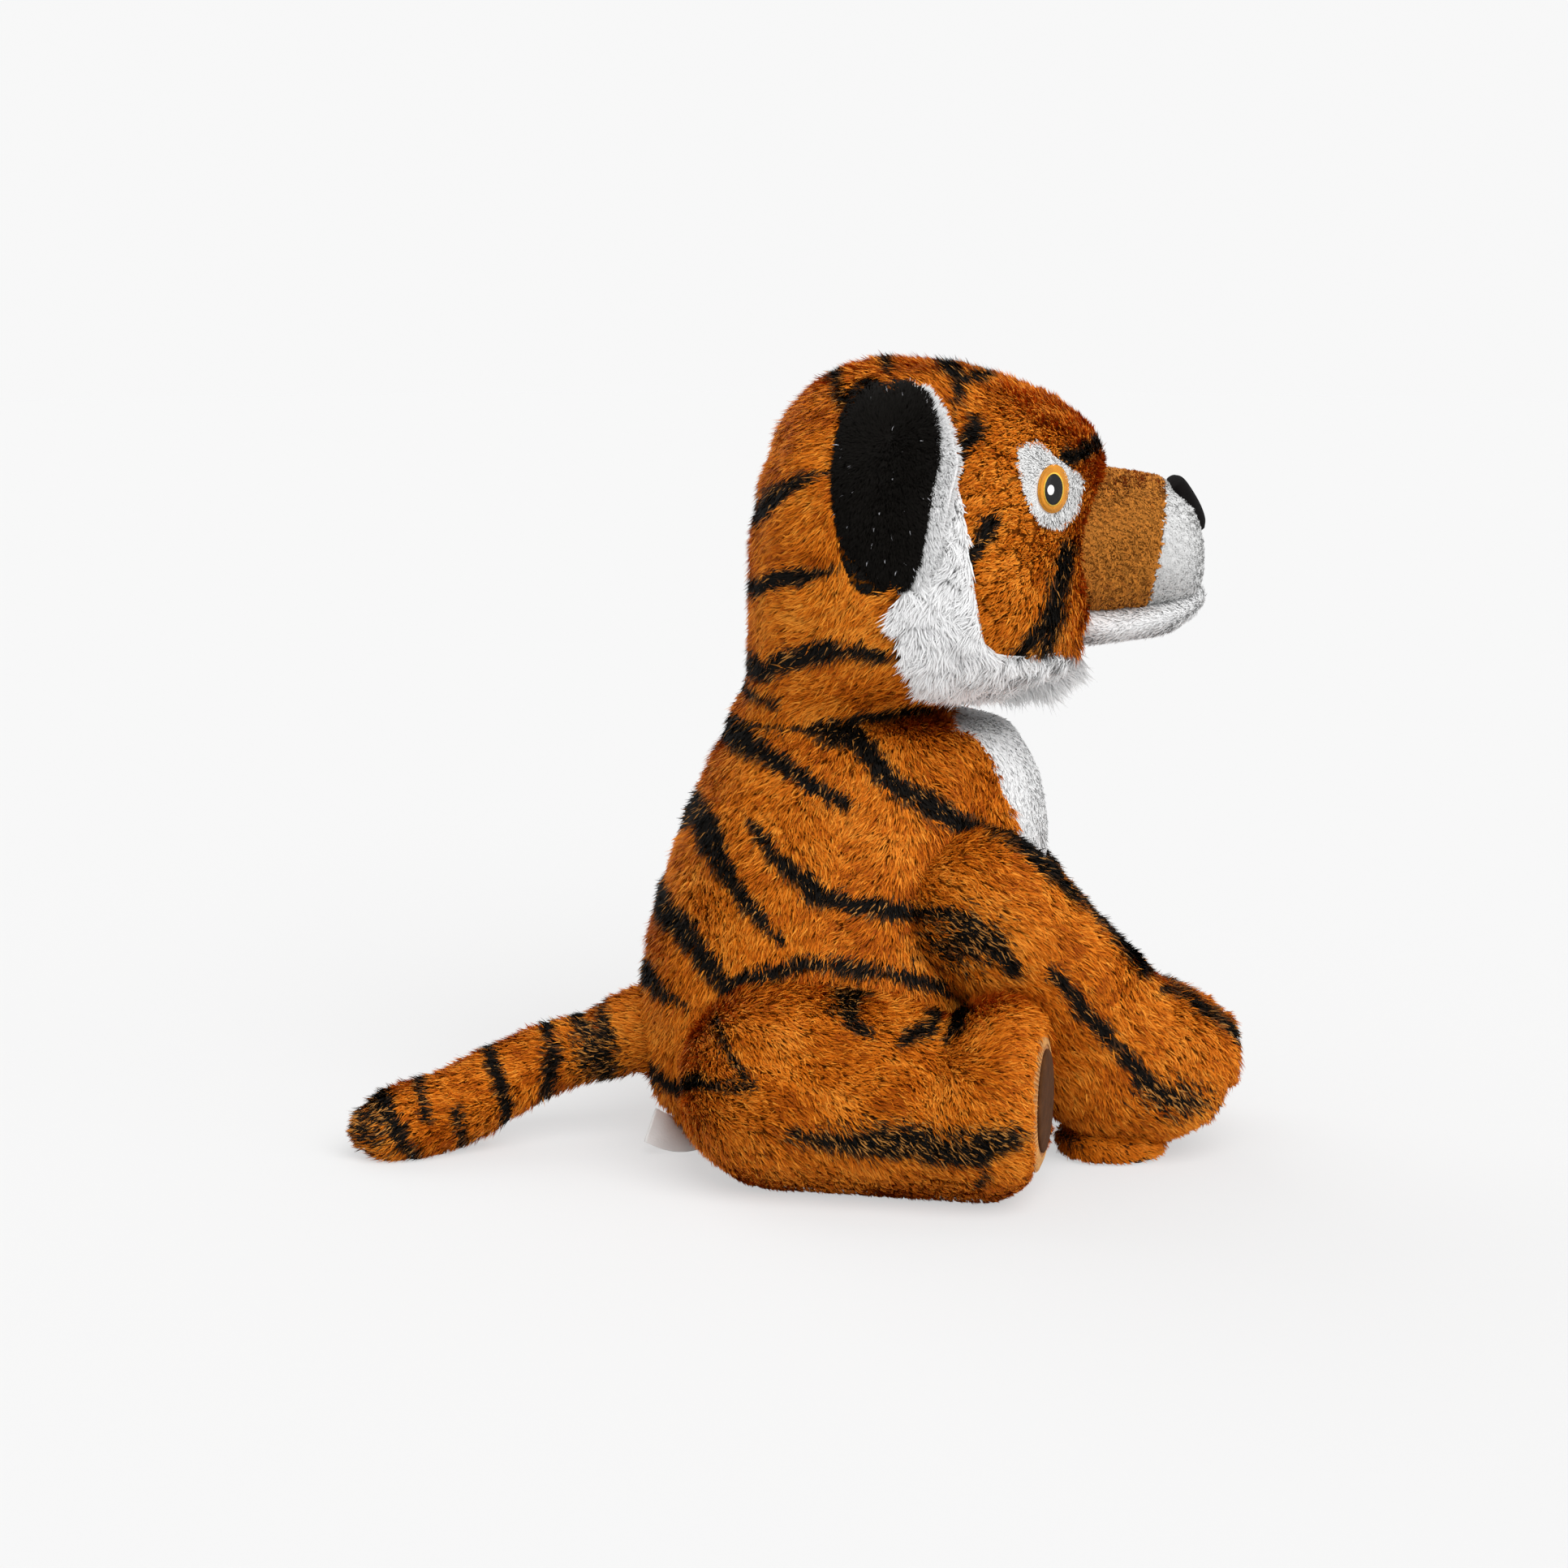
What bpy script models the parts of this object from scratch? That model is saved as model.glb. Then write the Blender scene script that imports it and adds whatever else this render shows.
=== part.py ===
# Sitting plush tiger, about 25 cm tall, facing +X with its right side at -Y.
# Covers are open fabric socks filled with separate stuffing, and each limb swings at its sewn root.
import math

import bmesh
import bpy
import numpy as np

mm = 0.001
degree = math.pi / 180.0

# Clearances and cloth
seam_gap = 0.3 * mm
swing_gap = 0.8 * mm
hip_gap = 0.95 * mm
cloth = 2.0 * mm
short_cloth = 1.3 * mm
overrun = 8.0 * mm
flat_depth = 0.5 * mm

# Torso, measured from the upright line that the seat centre stands on
torso_height = 139.4 * mm
torso_back = 67.0 * mm
torso_front = 57.0 * mm
torso_half_width = 54.0 * mm
torso_sides = 24
torso_power = 2.2

# Neck: the head sits in a ball seat
neck_x = -8.0 * mm
neck_rise = 18.6 * mm
neck_z = torso_height + neck_rise
seat_radius = 35.0 * mm
neck_rim_share = 0.857
neck_mouth_share = 0.843
neck_rim_radius = seat_radius * neck_rim_share
neck_mouth_radius = seat_radius * neck_mouth_share
seat_gap = 0.6 * mm
neck_pad = 7.5 * mm
neck_pad_spread = 38.5 * degree
neck_pocket_spread = 39.5 * degree

# Head
neck_seam = 0.2 * mm
head_base = torso_height + neck_seam
head_height = 107.0 * mm
head_back = 38.0 * mm
head_front = 70.0 * mm
head_half_width = 54.0 * mm
head_sides = 24
head_power = 2.35

# Muzzle and lower jaw
muzzle_sink = 14.0 * mm
muzzle_length = 50.3 * mm
muzzle_seam_share = 0.696
muzzle_rise_share = 0.494
muzzle_root = head_front - muzzle_sink
muzzle_seam = muzzle_root + muzzle_length * muzzle_seam_share
muzzle_tip = muzzle_root + muzzle_length
muzzle_z = head_base + head_height * muzzle_rise_share
muzzle_half_height = 20.5 * mm
muzzle_half_width = 26.0 * mm
jaw_sink = 2.0 * mm
jaw_short = 0.8 * mm
jaw_root = muzzle_root - jaw_sink
jaw_tip = muzzle_tip - jaw_short
jaw_overlap = 3.0 * mm
jaw_half_height = 8.0 * mm
jaw_half_width = 20.0 * mm
jaw_z = muzzle_z - muzzle_half_height - jaw_half_height + jaw_overlap
muzzle_sides = 16

# Nose
nose_back = 4.8 * mm
nose_x = muzzle_tip - nose_back
nose_rise_share = 0.585
nose_z = muzzle_z + muzzle_half_height * nose_rise_share
nose_length = 19.0 * mm
nose_half_width = 12.5 * mm
nose_half_thick = 4.2 * mm
nose_slope = 52.0 * degree

# Eyes, seen from the side
eye_back = 12.9 * mm
eye_x = head_front - eye_back
eye_rise_share = 0.677
eye_z = head_base + head_height * eye_rise_share
eye_patch_width = 21.0 * mm
eye_patch_height = 26.0 * mm
iris_half_width = 5.3 * mm
iris_half_height = 7.5 * mm
pupil_half_width = 3.3 * mm
pupil_half_height = 4.7 * mm
glint_half_width = 1.1 * mm
glint_half_height = 1.6 * mm
glint_back = 1.5 * mm
eye_patch_thick = 1.2 * mm
thread_thick = 0.7 * mm

# White ruff on each cheek
ruff_x = 5.0 * mm
ruff_rise = 9.4 * mm
ruff_z = head_base + ruff_rise
ruff_length = 64.0 * mm
ruff_height = 91.0 * mm
ruff_thick = 5.0 * mm

# Ears
ear_x = -6.0 * mm
ear_rise_share = 0.6673
ear_z = head_base + head_height * ear_rise_share
ear_reach = 33.0 * mm
ear_half_height = 31.0 * mm
ear_root_sweep = 9.0 * mm
ear_layer = 2.6 * mm
ear_puff = 2.2 * mm
ear_cup = 5.0 * mm
ear_lining_reach = 3.0 * mm
ear_turn = 48.0 * degree
ear_embed = 5.0 * mm
ear_root_height_share = 0.80
ear_square = 2.6
ear_swing = 15.0 * degree

# Ball roots of the limbs, which start at a share of their radius behind the joint
tail_root_share = -0.7
ball_root_share = -0.99
ball_rows = 5

# Forelegs
shoulder_back = 21.0 * mm
shoulder_x = torso_front - shoulder_back
shoulder_in = 13.0 * mm
shoulder_y = torso_half_width - shoulder_in
shoulder_z = 84.0 * mm
shoulder_radius = 23.0 * mm
shoulder_half_width = 16.0 * mm
foreleg_reach = 78.5 * mm
foreleg_drop = 62.0 * mm
foreleg_inset = 15.0 * mm
paw_half_height = 29.0 * mm
paw_half_width = 19.0 * mm
foreleg_slope = 45.0 * degree
foreleg_sides = 16
toe_share = 0.03
paw_sole_share = 0.58
foreleg_down = 5.0 * degree
foreleg_up = 30.0 * degree
swing_margin = 2.0 * degree
room_arc_points = 13
shoulder_spare = 2.0 * mm
shoulder_opening_radius = 10.0 * mm
opening_sides = 16
paw_sole_thick = 1.2 * mm
paw_sole_rise = 12.0 * mm
paw_sole_half_length = 17.0 * mm
paw_sole_half_width = 12.0 * mm

# Hind legs
hip_x = -26.0 * mm
hip_out = 9.5 * mm
hip_y = torso_half_width + hip_out
hip_radius = 28.0 * mm
hind_half_height = 30.5 * mm
hind_length = 80.0 * mm
hind_splay = 4.0 * degree
hind_sides = 16
hip_opening_radius = 14.0 * mm
ball_step_share = 0.06
foot_sole_thick = 1.6 * mm
foot_sole_half_width = 20.0 * mm
foot_sole_half_height = 23.0 * mm
sole_patch_radius = 13.5 * mm
sole_patch_thick = 0.8 * mm

# Tail
tail_sink = 1.0 * mm
tail_x = tail_sink - torso_back
tail_z = 35.0 * mm
tail_radius = 13.0 * mm
tail_half_width = 10.5 * mm
tail_length = 95.0 * mm
tail_drop = 26.0 * mm
tail_bend = 24.0 * mm
tail_sides = 14
tail_rows = 10

# Bean bag
bag_x = -10.0 * mm
bag_half_length = 36.0 * mm
bag_half_width = 25.0 * mm
bag_height = 27.0 * mm
bag_shares = [(0.0, 0.74), (0.16, 0.92), (0.4, 1.0), (0.64, 0.93), (0.84, 0.70), (0.96, 0.36)]

# Care label
label_length = 22.0 * mm
label_width = 15.0 * mm
label_thick = 0.5 * mm
label_out = 6.0 * mm
label_back = torso_back + label_out
label_side = 12.0 * mm
label_z = 5.0 * mm
label_droop = 10.0 * degree

# Shares of height, back, front and half width, from the seat up to the neck rim
torso_shares = [
    (0.000, 0.66, 0.56, 0.52),
    (0.050, 0.83, 0.68, 0.72),
    (0.130, 0.95, 0.76, 0.87),
    (0.220, 0.99, 0.80, 0.96),
    (0.340, 1.00, 0.83, 1.00),
    (0.450, 0.975, 0.88, 0.98),
    (0.560, 0.925, 0.94, 0.94),
    (0.660, 0.855, 0.985, 0.90),
    (0.760, 0.780, 0.990, 0.84),
    (0.850, 0.690, 0.950, 0.77),
    (0.920, 0.620, 0.890, 0.70),
    (0.965, 0.585, 0.760, 0.64),
]

# Shares of height, back, front and half width, from the neck seam up to the crown
head_shares = [
    (0.000, 0.985, 0.310, 0.545),
    (0.060, 0.900, 0.350, 0.600),
    (0.120, 0.860, 0.600, 0.740),
    (0.180, 0.860, 0.810, 0.870),
    (0.260, 0.855, 0.890, 0.950),
    (0.350, 0.850, 0.915, 0.990),
    (0.440, 0.845, 0.930, 1.000),
    (0.530, 0.820, 0.950, 0.990),
    (0.620, 0.780, 0.985, 0.965),
    (0.700, 0.720, 1.000, 0.920),
    (0.780, 0.640, 0.950, 0.840),
    (0.860, 0.520, 0.820, 0.720),
    (0.930, 0.330, 0.640, 0.550),
    (0.978, 0.100, 0.440, 0.330),
]
head_crown_share = 0.14

# Shares of length, lift in half heights, half height and half width along the muzzle and the jaw
muzzle_shares = [
    (0.00, 0.00, 1.00, 1.00),
    (0.40, 0.00, 1.00, 0.98),
    (0.70, 0.02, 0.92, 0.93),
    (0.86, -0.075, 0.80, 0.86),
    (0.945, -0.21, 0.62, 0.70),
    (0.985, -0.28, 0.36, 0.42),
]
jaw_shares = [
    (0.00, -0.31, 1.00, 1.00),
    (0.45, -0.17, 0.98, 0.97),
    (0.75, 0.06, 0.88, 0.86),
    (0.91, 0.29, 0.66, 0.64),
    (0.98, 0.38, 0.34, 0.36),
]

# Shares of reach, drop, inset, half height and half width along a foreleg past the shoulder
foreleg_shares = [
    (0.10, 0.125, 0.00, 0.780, 0.850),
    (0.23, 0.270, 0.15, 0.680, 0.850),
    (0.38, 0.480, 0.50, 0.700, 0.900),
    (0.51, 0.740, 0.80, 0.900, 0.960),
    (0.65, 0.900, 1.00, 1.000, 1.000),
    (0.78, 0.960, 1.05, 0.900, 0.980),
    (0.90, 0.980, 1.05, 0.640, 0.780),
    (0.97, 0.990, 1.05, 0.350, 0.450),
]

# Shares of length, half width, half height and centre height along a hind leg past the hip
hind_shares = [
    (0.15, 0.995, 1.000, 1.000),
    (0.35, 0.970, 0.970, 0.970),
    (0.55, 0.940, 0.900, 0.900),
    (0.66, 0.930, 0.860, 0.860),
    (0.78, 0.965, 0.950, 0.950),
    (0.90, 0.960, 1.000, 1.000),
    (0.965, 0.900, 0.950, 1.000),
    (1.00, 0.800, 0.840, 1.000),
]

# Shares of length, drop, bend and half width along the tail past its root
tail_shares = [
    (0.08, 0.06, 0.02, 1.02),
    (0.20, 0.20, 0.06, 0.86),
    (0.36, 0.33, 0.20, 0.84),
    (0.52, 0.56, 0.42, 0.94),
    (0.67, 0.80, 0.66, 1.00),
    (0.82, 0.95, 0.88, 1.00),
    (0.92, 0.99, 1.00, 0.86),
    (0.98, 1.00, 1.04, 0.50),
]

# Outline of an eye patch and of a ruff, as shares of their width and height
eye_patch_shares = [
    (-0.50, 0.48), (-0.18, 0.50), (0.06, 0.34), (0.46, 0.12), (0.47, -0.02),
    (0.38, -0.34), (0.14, -0.48), (-0.12, -0.44), (-0.36, -0.20), (-0.47, 0.14),
]
ruff_shares = [
    (0.28, 0.62), (0.35, 0.60), (0.42, 0.36), (0.50, 0.24), (0.64, 0.16), (0.94, 0.15),
    (1.00, 0.02), (0.70, -0.05), (0.15, -0.05), (0.02, 0.10), (0.00, 0.26), (0.10, 0.40),
]
chest_shares = [
    (0.22, 1.04), (0.34, 0.86), (0.45, 0.70), (0.50, 0.52), (0.46, 0.32), (0.34, 0.16),
    (-0.34, 0.16), (-0.46, 0.32), (-0.50, 0.52), (-0.45, 0.70), (-0.34, 0.86), (-0.22, 1.04),
]
chest_width = 66.0 * mm

colours = {
    "orange_plush": (0.55, 0.16, 0.015),
    "white_plush": (0.85, 0.84, 0.80),
    "black_plush": (0.012, 0.010, 0.010),
    "tan_pile": (0.50, 0.20, 0.055),
    "brown_pile": (0.16, 0.055, 0.02),
    "amber_thread": (0.80, 0.36, 0.03),
    "black_thread": (0.01, 0.01, 0.01),
    "white_thread": (0.88, 0.88, 0.86),
    "wadding": (0.80, 0.79, 0.76),
    "calico": (0.66, 0.60, 0.48),
    "label_satin": (0.86, 0.86, 0.85),
}
roughness_of = {"amber_thread": 0.55, "black_thread": 0.5, "white_thread": 0.5, "label_satin": 0.45}


def clear_scene():
    for old in list(bpy.data.objects):
        bpy.data.objects.remove(old, do_unlink=True)


def cloth_material(name):
    found = bpy.data.materials.get(name)
    if found:
        return found
    made = bpy.data.materials.new(name)
    made.use_nodes = True
    shader = made.node_tree.nodes["Principled BSDF"]
    shader.inputs["Base Color"].default_value = (*colours[name], 1.0)
    shader.inputs["Roughness"].default_value = roughness_of.get(name, 0.95)
    shader.inputs["Metallic"].default_value = 0.0
    return made


def smooth_rows(rows, count):
    """Rows of a table read off a smooth curve through them, evenly by row number."""
    table = np.array(rows, float)
    padded = np.vstack([2 * table[0] - table[1], table, 2 * table[-1] - table[-2]])
    place = np.linspace(0, len(table) - 1, count)
    low = np.minimum(place.astype(int), len(table) - 2)
    t = (place - low)[:, None]
    before, first, second, after = (padded[low + step] for step in range(4))
    return 0.5 * (
        2 * first
        + (second - before) * t
        + (2 * before - 5 * first + 4 * second - after) * t**2
        + (3 * first - before - 3 * second + after) * t**3
    )


def round_shape(sides, power):
    """Cosine and sine round a closed outline, squared up as power rises above 2."""
    angle = 2 * math.pi * np.arange(sides) / sides
    across, along = np.sin(angle), np.cos(angle)
    return (
        np.sign(along) * np.abs(along) ** (2 / power),
        np.sign(across) * np.abs(across) ** (2 / power),
    )


def flat_ring(z, back, front, half_width, sides, power):
    along, across = round_shape(sides, power)
    middle, half = (front - back) / 2, (front + back) / 2
    return np.stack([middle + half * along, half_width * across, np.full(sides, z)], axis=1)


def seat_ring(radius, spread, sides, power=2.0):
    """Ring of the ball about the neck centre, at an angle up from straight down."""
    reach = radius * math.sin(spread)
    height = neck_z - radius * math.cos(spread)
    return flat_ring(height, reach - neck_x, reach + neck_x, reach, sides, power)


def seat_spread(radius, reach):
    return math.asin(reach / radius)


def add_solid(name, rings, first_pole, last_pole, material, origin):
    """Closed solid through a list of rings, with a pole or a flat middle point at both ends."""
    sides = len(rings[0])
    points = [np.array([first_pole])] + list(rings) + [np.array([last_pole])]
    points = np.vstack(points) - np.array(origin)
    faces = []
    last = len(points) - 1
    for k in range(sides):
        after = (k + 1) % sides
        faces.append((0, 1 + after, 1 + k))
        for row in range(len(rings) - 1):
            start = 1 + row * sides
            faces.append((start + k, start + after, start + sides + after, start + sides + k))
        start = 1 + (len(rings) - 1) * sides
        faces.append((start + k, start + after, last))
    mesh = bpy.data.meshes.new(name)
    mesh.from_pydata([tuple(p) for p in points], [], faces)
    return finish_mesh(name, mesh, material, origin)


def finish_mesh(name, mesh, material, origin):
    work = bmesh.new()
    work.from_mesh(mesh)
    bmesh.ops.triangulate(work, faces=work.faces)
    bmesh.ops.recalc_face_normals(work, faces=work.faces)
    work.to_mesh(mesh)
    work.free()
    made = bpy.data.objects.new(name, mesh)
    bpy.context.scene.collection.objects.link(made)
    made.location = origin
    if material:
        mesh.materials.append(cloth_material(material))
    mesh.shade_smooth()
    mesh.set_sharp_from_angle(angle=50 * degree)
    return made


def make_cutter(made):
    made.hide_render = True
    made.display_type = "WIRE"
    return made


def cut(target, cutter, operation="DIFFERENCE"):
    modifier = target.modifiers.new(operation.lower(), "BOOLEAN")
    modifier.operation = operation
    modifier.solver = "EXACT"
    modifier.object = cutter


def add_prism(name, outline, axis, near, far, material, origin):
    """Flat outline carried from near to far along an axis."""
    count = len(outline)
    points = [
        np.insert(place, "XYZ".index(axis), depth) for depth in (near, far) for place in outline
    ]
    faces = [tuple(range(count)), tuple(reversed(range(count, 2 * count)))]
    for k in range(count):
        after = (k + 1) % count
        faces.append((k, count + k, count + after, after))
    mesh = bpy.data.meshes.new(name)
    mesh.from_pydata([tuple(np.array(p) - np.array(origin)) for p in points], [], faces)
    return finish_mesh(name, mesh, material, origin)


def rounded_outline(shares, width, height, x, z, count):
    """Smooth closed outline through share points, about a place."""
    closed = list(shares[-2:]) + list(shares) + list(shares[:2])
    rows = smooth_rows(closed, (len(closed) - 1) * count + 1)[2 * count:-2 * count]
    return [(x + width * first, z + height * second) for first, second in rows[:-count]]


def ellipse_outline(x, z, half_width, half_height, sides):
    angle = 2 * math.pi * np.arange(sides) / sides
    return list(zip(x + half_width * np.cos(angle), z + half_height * np.sin(angle)))


# Torso


def torso_rings(offset, sides=torso_sides):
    rings = []
    half = torso_height / 2
    for height, back, front, width in torso_shares:
        z = half + (height * torso_height - half) * (half + offset) / half
        rings.append(
            flat_ring(
                z, torso_back * back + offset, torso_front * front + offset,
                torso_half_width * width + offset, sides, torso_power,
            )
        )
    return rings


def neck_rim(radius, sides):
    """Top ring of a torso layer, where it meets the ball seat of the head."""
    seat = seat_radius + seat_gap
    return seat_ring(seat, seat_spread(seat, radius), sides)


def build_torso():
    origin = (0.0, 0.0, 0.0)
    outer = torso_rings(0.0) + [neck_rim(neck_rim_radius, torso_sides)]
    inner = torso_rings(-cloth) + [neck_rim(neck_rim_radius - cloth, torso_sides)]
    cover = add_solid(
        "body_cover", outer + inner[::-1],
        (outer[0][:, 0].mean(), 0, outer[0][0, 2]), (inner[0][:, 0].mean(), 0, inner[0][0, 2]),
        "orange_plush", origin,
    )
    chest = add_solid(
        "chest_panel", outer + inner[::-1],
        (outer[0][:, 0].mean(), 0, outer[0][0, 2]), (inner[0][:, 0].mean(), 0, inner[0][0, 2]),
        "white_plush", origin,
    )
    for target, spare, operation in ((cover, seam_gap, "DIFFERENCE"), (chest, 0.0, "INTERSECT")):
        outline = rounded_outline(
            chest_shares, chest_width + 2 * spare, torso_height + 2 * spare, 0.0, -spare, 2
        )
        prism = add_prism(
            target.name + "_chest_cutter", outline, "X", neck_x + neck_rim_radius - cloth,
            torso_front + overrun, None, origin,
        )
        cut(target, make_cutter(prism), operation)

    fill = torso_rings(-cloth - seam_gap)
    fill.append(neck_rim(neck_rim_radius - cloth - seam_gap, torso_sides))
    fill.append(seat_ring(seat_radius + seat_gap, neck_pocket_spread, torso_sides))
    pocket_radius = seat_radius + neck_pad + 2 * seat_gap
    for spread_share in (1.0, 0.75, 0.5, 0.25):
        fill.append(seat_ring(pocket_radius, neck_pocket_spread * spread_share, torso_sides))
    stuffing = add_solid(
        "body_stuffing", fill, (fill[0][:, 0].mean(), 0, fill[0][0, 2]),
        (neck_x, 0, neck_z - pocket_radius), "wadding", origin,
    )
    bag = bag_solid("bean_bag", 0.0, 0.0, "calico")
    cut(stuffing, make_cutter(bag_solid("bean_bag_pocket", seam_gap, cloth, None)))
    return cover, chest, stuffing, bag


def bag_solid(name, clearance, below, material):
    """Pillow of pellets in a calico bag, resting on the seat and carried below it where asked."""
    rings = []
    sides = 16
    floor = cloth + 2 * seam_gap
    for share, width in bag_shares:
        z = floor + (bag_height + clearance) * share - below * (share == 0)
        length = bag_half_length * width + clearance
        rings.append(
            flat_ring(z, length - bag_x, length + bag_x, bag_half_width * width + clearance, sides, 2.2)
        )
    top = floor + bag_height + clearance
    return add_solid(name, rings, (bag_x, 0, floor - below), (bag_x, 0, top), material, (0.0, 0.0, 0.0))


def build_neck():
    """Pad of wadding between the head's ball and the torso's seat."""
    origin = (neck_x, 0.0, neck_z)
    sides = torso_sides
    outside, inside = seat_radius + seat_gap + neck_pad, seat_radius + seat_gap
    shares = (0.25, 0.5, 0.75, 1.0)
    rings = [seat_ring(outside, neck_pad_spread * share, sides) for share in shares]
    rings += [seat_ring(inside, neck_pad_spread * share, sides) for share in shares[::-1]]
    return add_solid(
        "neck_stuffing", rings, (neck_x, 0, neck_z - outside), (neck_x, 0, neck_z - inside),
        "wadding", origin,
    )


# Head


def head_rings(offset):
    rings = []
    for height, back, front, width in head_shares:
        z = head_base + height * (head_height + offset)
        rings.append(
            flat_ring(
                z, head_back * back + offset, head_front * front + offset,
                head_half_width * width + offset, head_sides, head_power,
            )
        )
    return rings


def head_crown(offset):
    return (head_front * head_crown_share, 0, head_base + head_height + offset)


def head_form(name, offset):
    """Closed head shape, grown or shrunk, used to trim what is sewn onto the head."""
    rings = head_rings(offset)
    return make_cutter(
        add_solid(name, rings, (neck_x, 0, rings[0][0, 2]), head_crown(offset), None, (0.0, 0.0, 0.0))
    )


def head_mouth(radius, sides):
    return flat_ring(head_base, radius - neck_x, radius + neck_x, radius, sides, 2.0)


def build_head():
    origin = (neck_x, 0.0, neck_z)
    outer = [head_mouth(neck_mouth_radius, head_sides)] + head_rings(0.0)[1:]
    inner = [head_mouth(neck_mouth_radius - cloth, head_sides)] + head_rings(-cloth)[1:]
    cover = add_solid(
        "head_cover", outer[::-1] + inner, head_crown(0.0), head_crown(-cloth), "orange_plush", origin
    )
    fill_radius = neck_mouth_radius - cloth - seam_gap
    widest = seat_spread(seat_radius, fill_radius)
    fill = [seat_ring(seat_radius, widest * share, head_sides) for share in (0.2, 0.4, 0.6, 0.8, 1.0)]
    fill.append(head_mouth(fill_radius, head_sides))
    fill += head_rings(-cloth - seam_gap)[1:]
    stuffing = add_solid(
        "head_stuffing", fill, (neck_x, 0, neck_z - seat_radius), head_crown(-cloth - seam_gap),
        "wadding", origin,
    )
    return cover, stuffing


def spine_ring(x, z, half_height, half_width, sides, power=2.2):
    """Upright ring across the X axis."""
    along, across = round_shape(sides, power)
    return np.stack([np.full(sides, x), half_width * across, z + half_height * along], axis=1)


def muzzle_rings(shares, root, tip, middle, half_height, half_width, offset):
    rings = []
    for length, lift, tall, wide in shares:
        x = root + (tip - root + offset) * length
        rings.append(
            spine_ring(
                x, middle + half_height * lift, half_height * tall + offset,
                half_width * wide + offset, muzzle_sides,
            )
        )
    return rings


def snout_rings(offset):
    return muzzle_rings(
        muzzle_shares, muzzle_root, muzzle_tip, muzzle_z, muzzle_half_height, muzzle_half_width, offset
    )


def snout_tip(offset):
    return (muzzle_tip + offset, 0, muzzle_z + muzzle_half_height * muzzle_shares[-1][1])


def snout_form(name, offset):
    rings = snout_rings(offset)
    return add_solid(name, rings, (muzzle_root, 0, muzzle_z), snout_tip(offset), None, (0.0, 0.0, 0.0))


def jaw_form(name, offset, material, origin):
    rings = muzzle_rings(
        jaw_shares, jaw_root - offset, jaw_tip, jaw_z, jaw_half_height, jaw_half_width, offset
    )
    return add_solid(
        name, rings, (jaw_root - offset, 0, jaw_z),
        (jaw_tip + offset, 0, jaw_z + jaw_half_height * jaw_shares[-1][1]), material, origin,
    )


def build_muzzle(head_trim):
    """Tan tube, white cup on its end, wadding inside, lower jaw and nose."""
    origin = (neck_x, 0.0, neck_z)
    outer = snout_rings(0.0)
    inner = snout_rings(-short_cloth)
    outer_tip, inner_tip = snout_tip(0.0), snout_tip(-short_cloth)
    pieces = []
    for name, material, near, far in (
        ("muzzle_panel", "tan_pile", muzzle_root - overrun, muzzle_seam - seam_gap / 2),
        ("muzzle_front", "white_plush", muzzle_seam + seam_gap / 2, muzzle_tip + overrun),
    ):
        shell = add_solid(name, outer[::-1] + inner, outer_tip, inner_tip, material, origin)
        half = muzzle_half_width + overrun
        low, high = muzzle_z - half, muzzle_z + half
        box = add_prism(
            name + "_slice", [(near, low), (far, low), (far, high), (near, high)], "Y", -half, half,
            None, (0.0, 0.0, 0.0),
        )
        cut(shell, make_cutter(box), "INTERSECT")
        cut(shell, head_trim)
        pieces.append(shell)
    fill = snout_rings(-short_cloth - seam_gap)
    stuffing = add_solid(
        "muzzle_stuffing", fill, (muzzle_root, 0, muzzle_z), snout_tip(-short_cloth - seam_gap),
        "wadding", origin,
    )
    cut(stuffing, head_trim)
    snout_trim = make_cutter(snout_form("snout_trim", seam_gap))
    jaw = jaw_form("lower_jaw", 0.0, "white_plush", origin)
    cut(jaw, head_trim)
    cut(jaw, snout_trim)
    nose = build_nose(origin)
    cut(nose, snout_trim)
    return pieces + [stuffing, jaw, nose]


def build_nose(origin):
    """Soft black wedge down the slope of the muzzle's end, widest at the top."""
    sides = 12
    rings = []
    down = np.array([math.cos(nose_slope), 0, -math.sin(nose_slope)])
    out = np.array([math.sin(nose_slope), 0, math.cos(nose_slope)])
    middle = np.array([nose_x, 0, nose_z])
    along, across = round_shape(sides, 2.4)
    for place, wide, thick in (
        (-0.47, 0.55, 0.45), (-0.38, 0.92, 0.85), (-0.15, 1.00, 1.00),
        (0.12, 0.80, 1.00), (0.34, 0.50, 0.80), (0.47, 0.22, 0.40),
    ):
        centre = middle + down * nose_length * place
        rings.append(
            centre + np.outer(along * nose_half_thick * thick, out)
            + np.outer(across * nose_half_width * wide, [0, 1, 0])
        )
    return add_solid(
        "nose", rings, tuple(middle - down * nose_length / 2), tuple(middle + down * nose_length / 2),
        "black_plush", origin,
    )


def head_patch(name, outline, side, inside, outside, material):
    """Piece of cloth that follows the side of the head, between two grown head shapes."""
    reach = head_half_width + overrun + ruff_thick
    near, far = (-reach, -seam_gap / 2) if side < 0 else (seam_gap / 2, reach)
    patch = add_prism(name, outline, "Y", near, far, material, (neck_x, 0.0, neck_z))
    cut(patch, outside, "INTERSECT")
    cut(patch, inside)
    return patch


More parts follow.
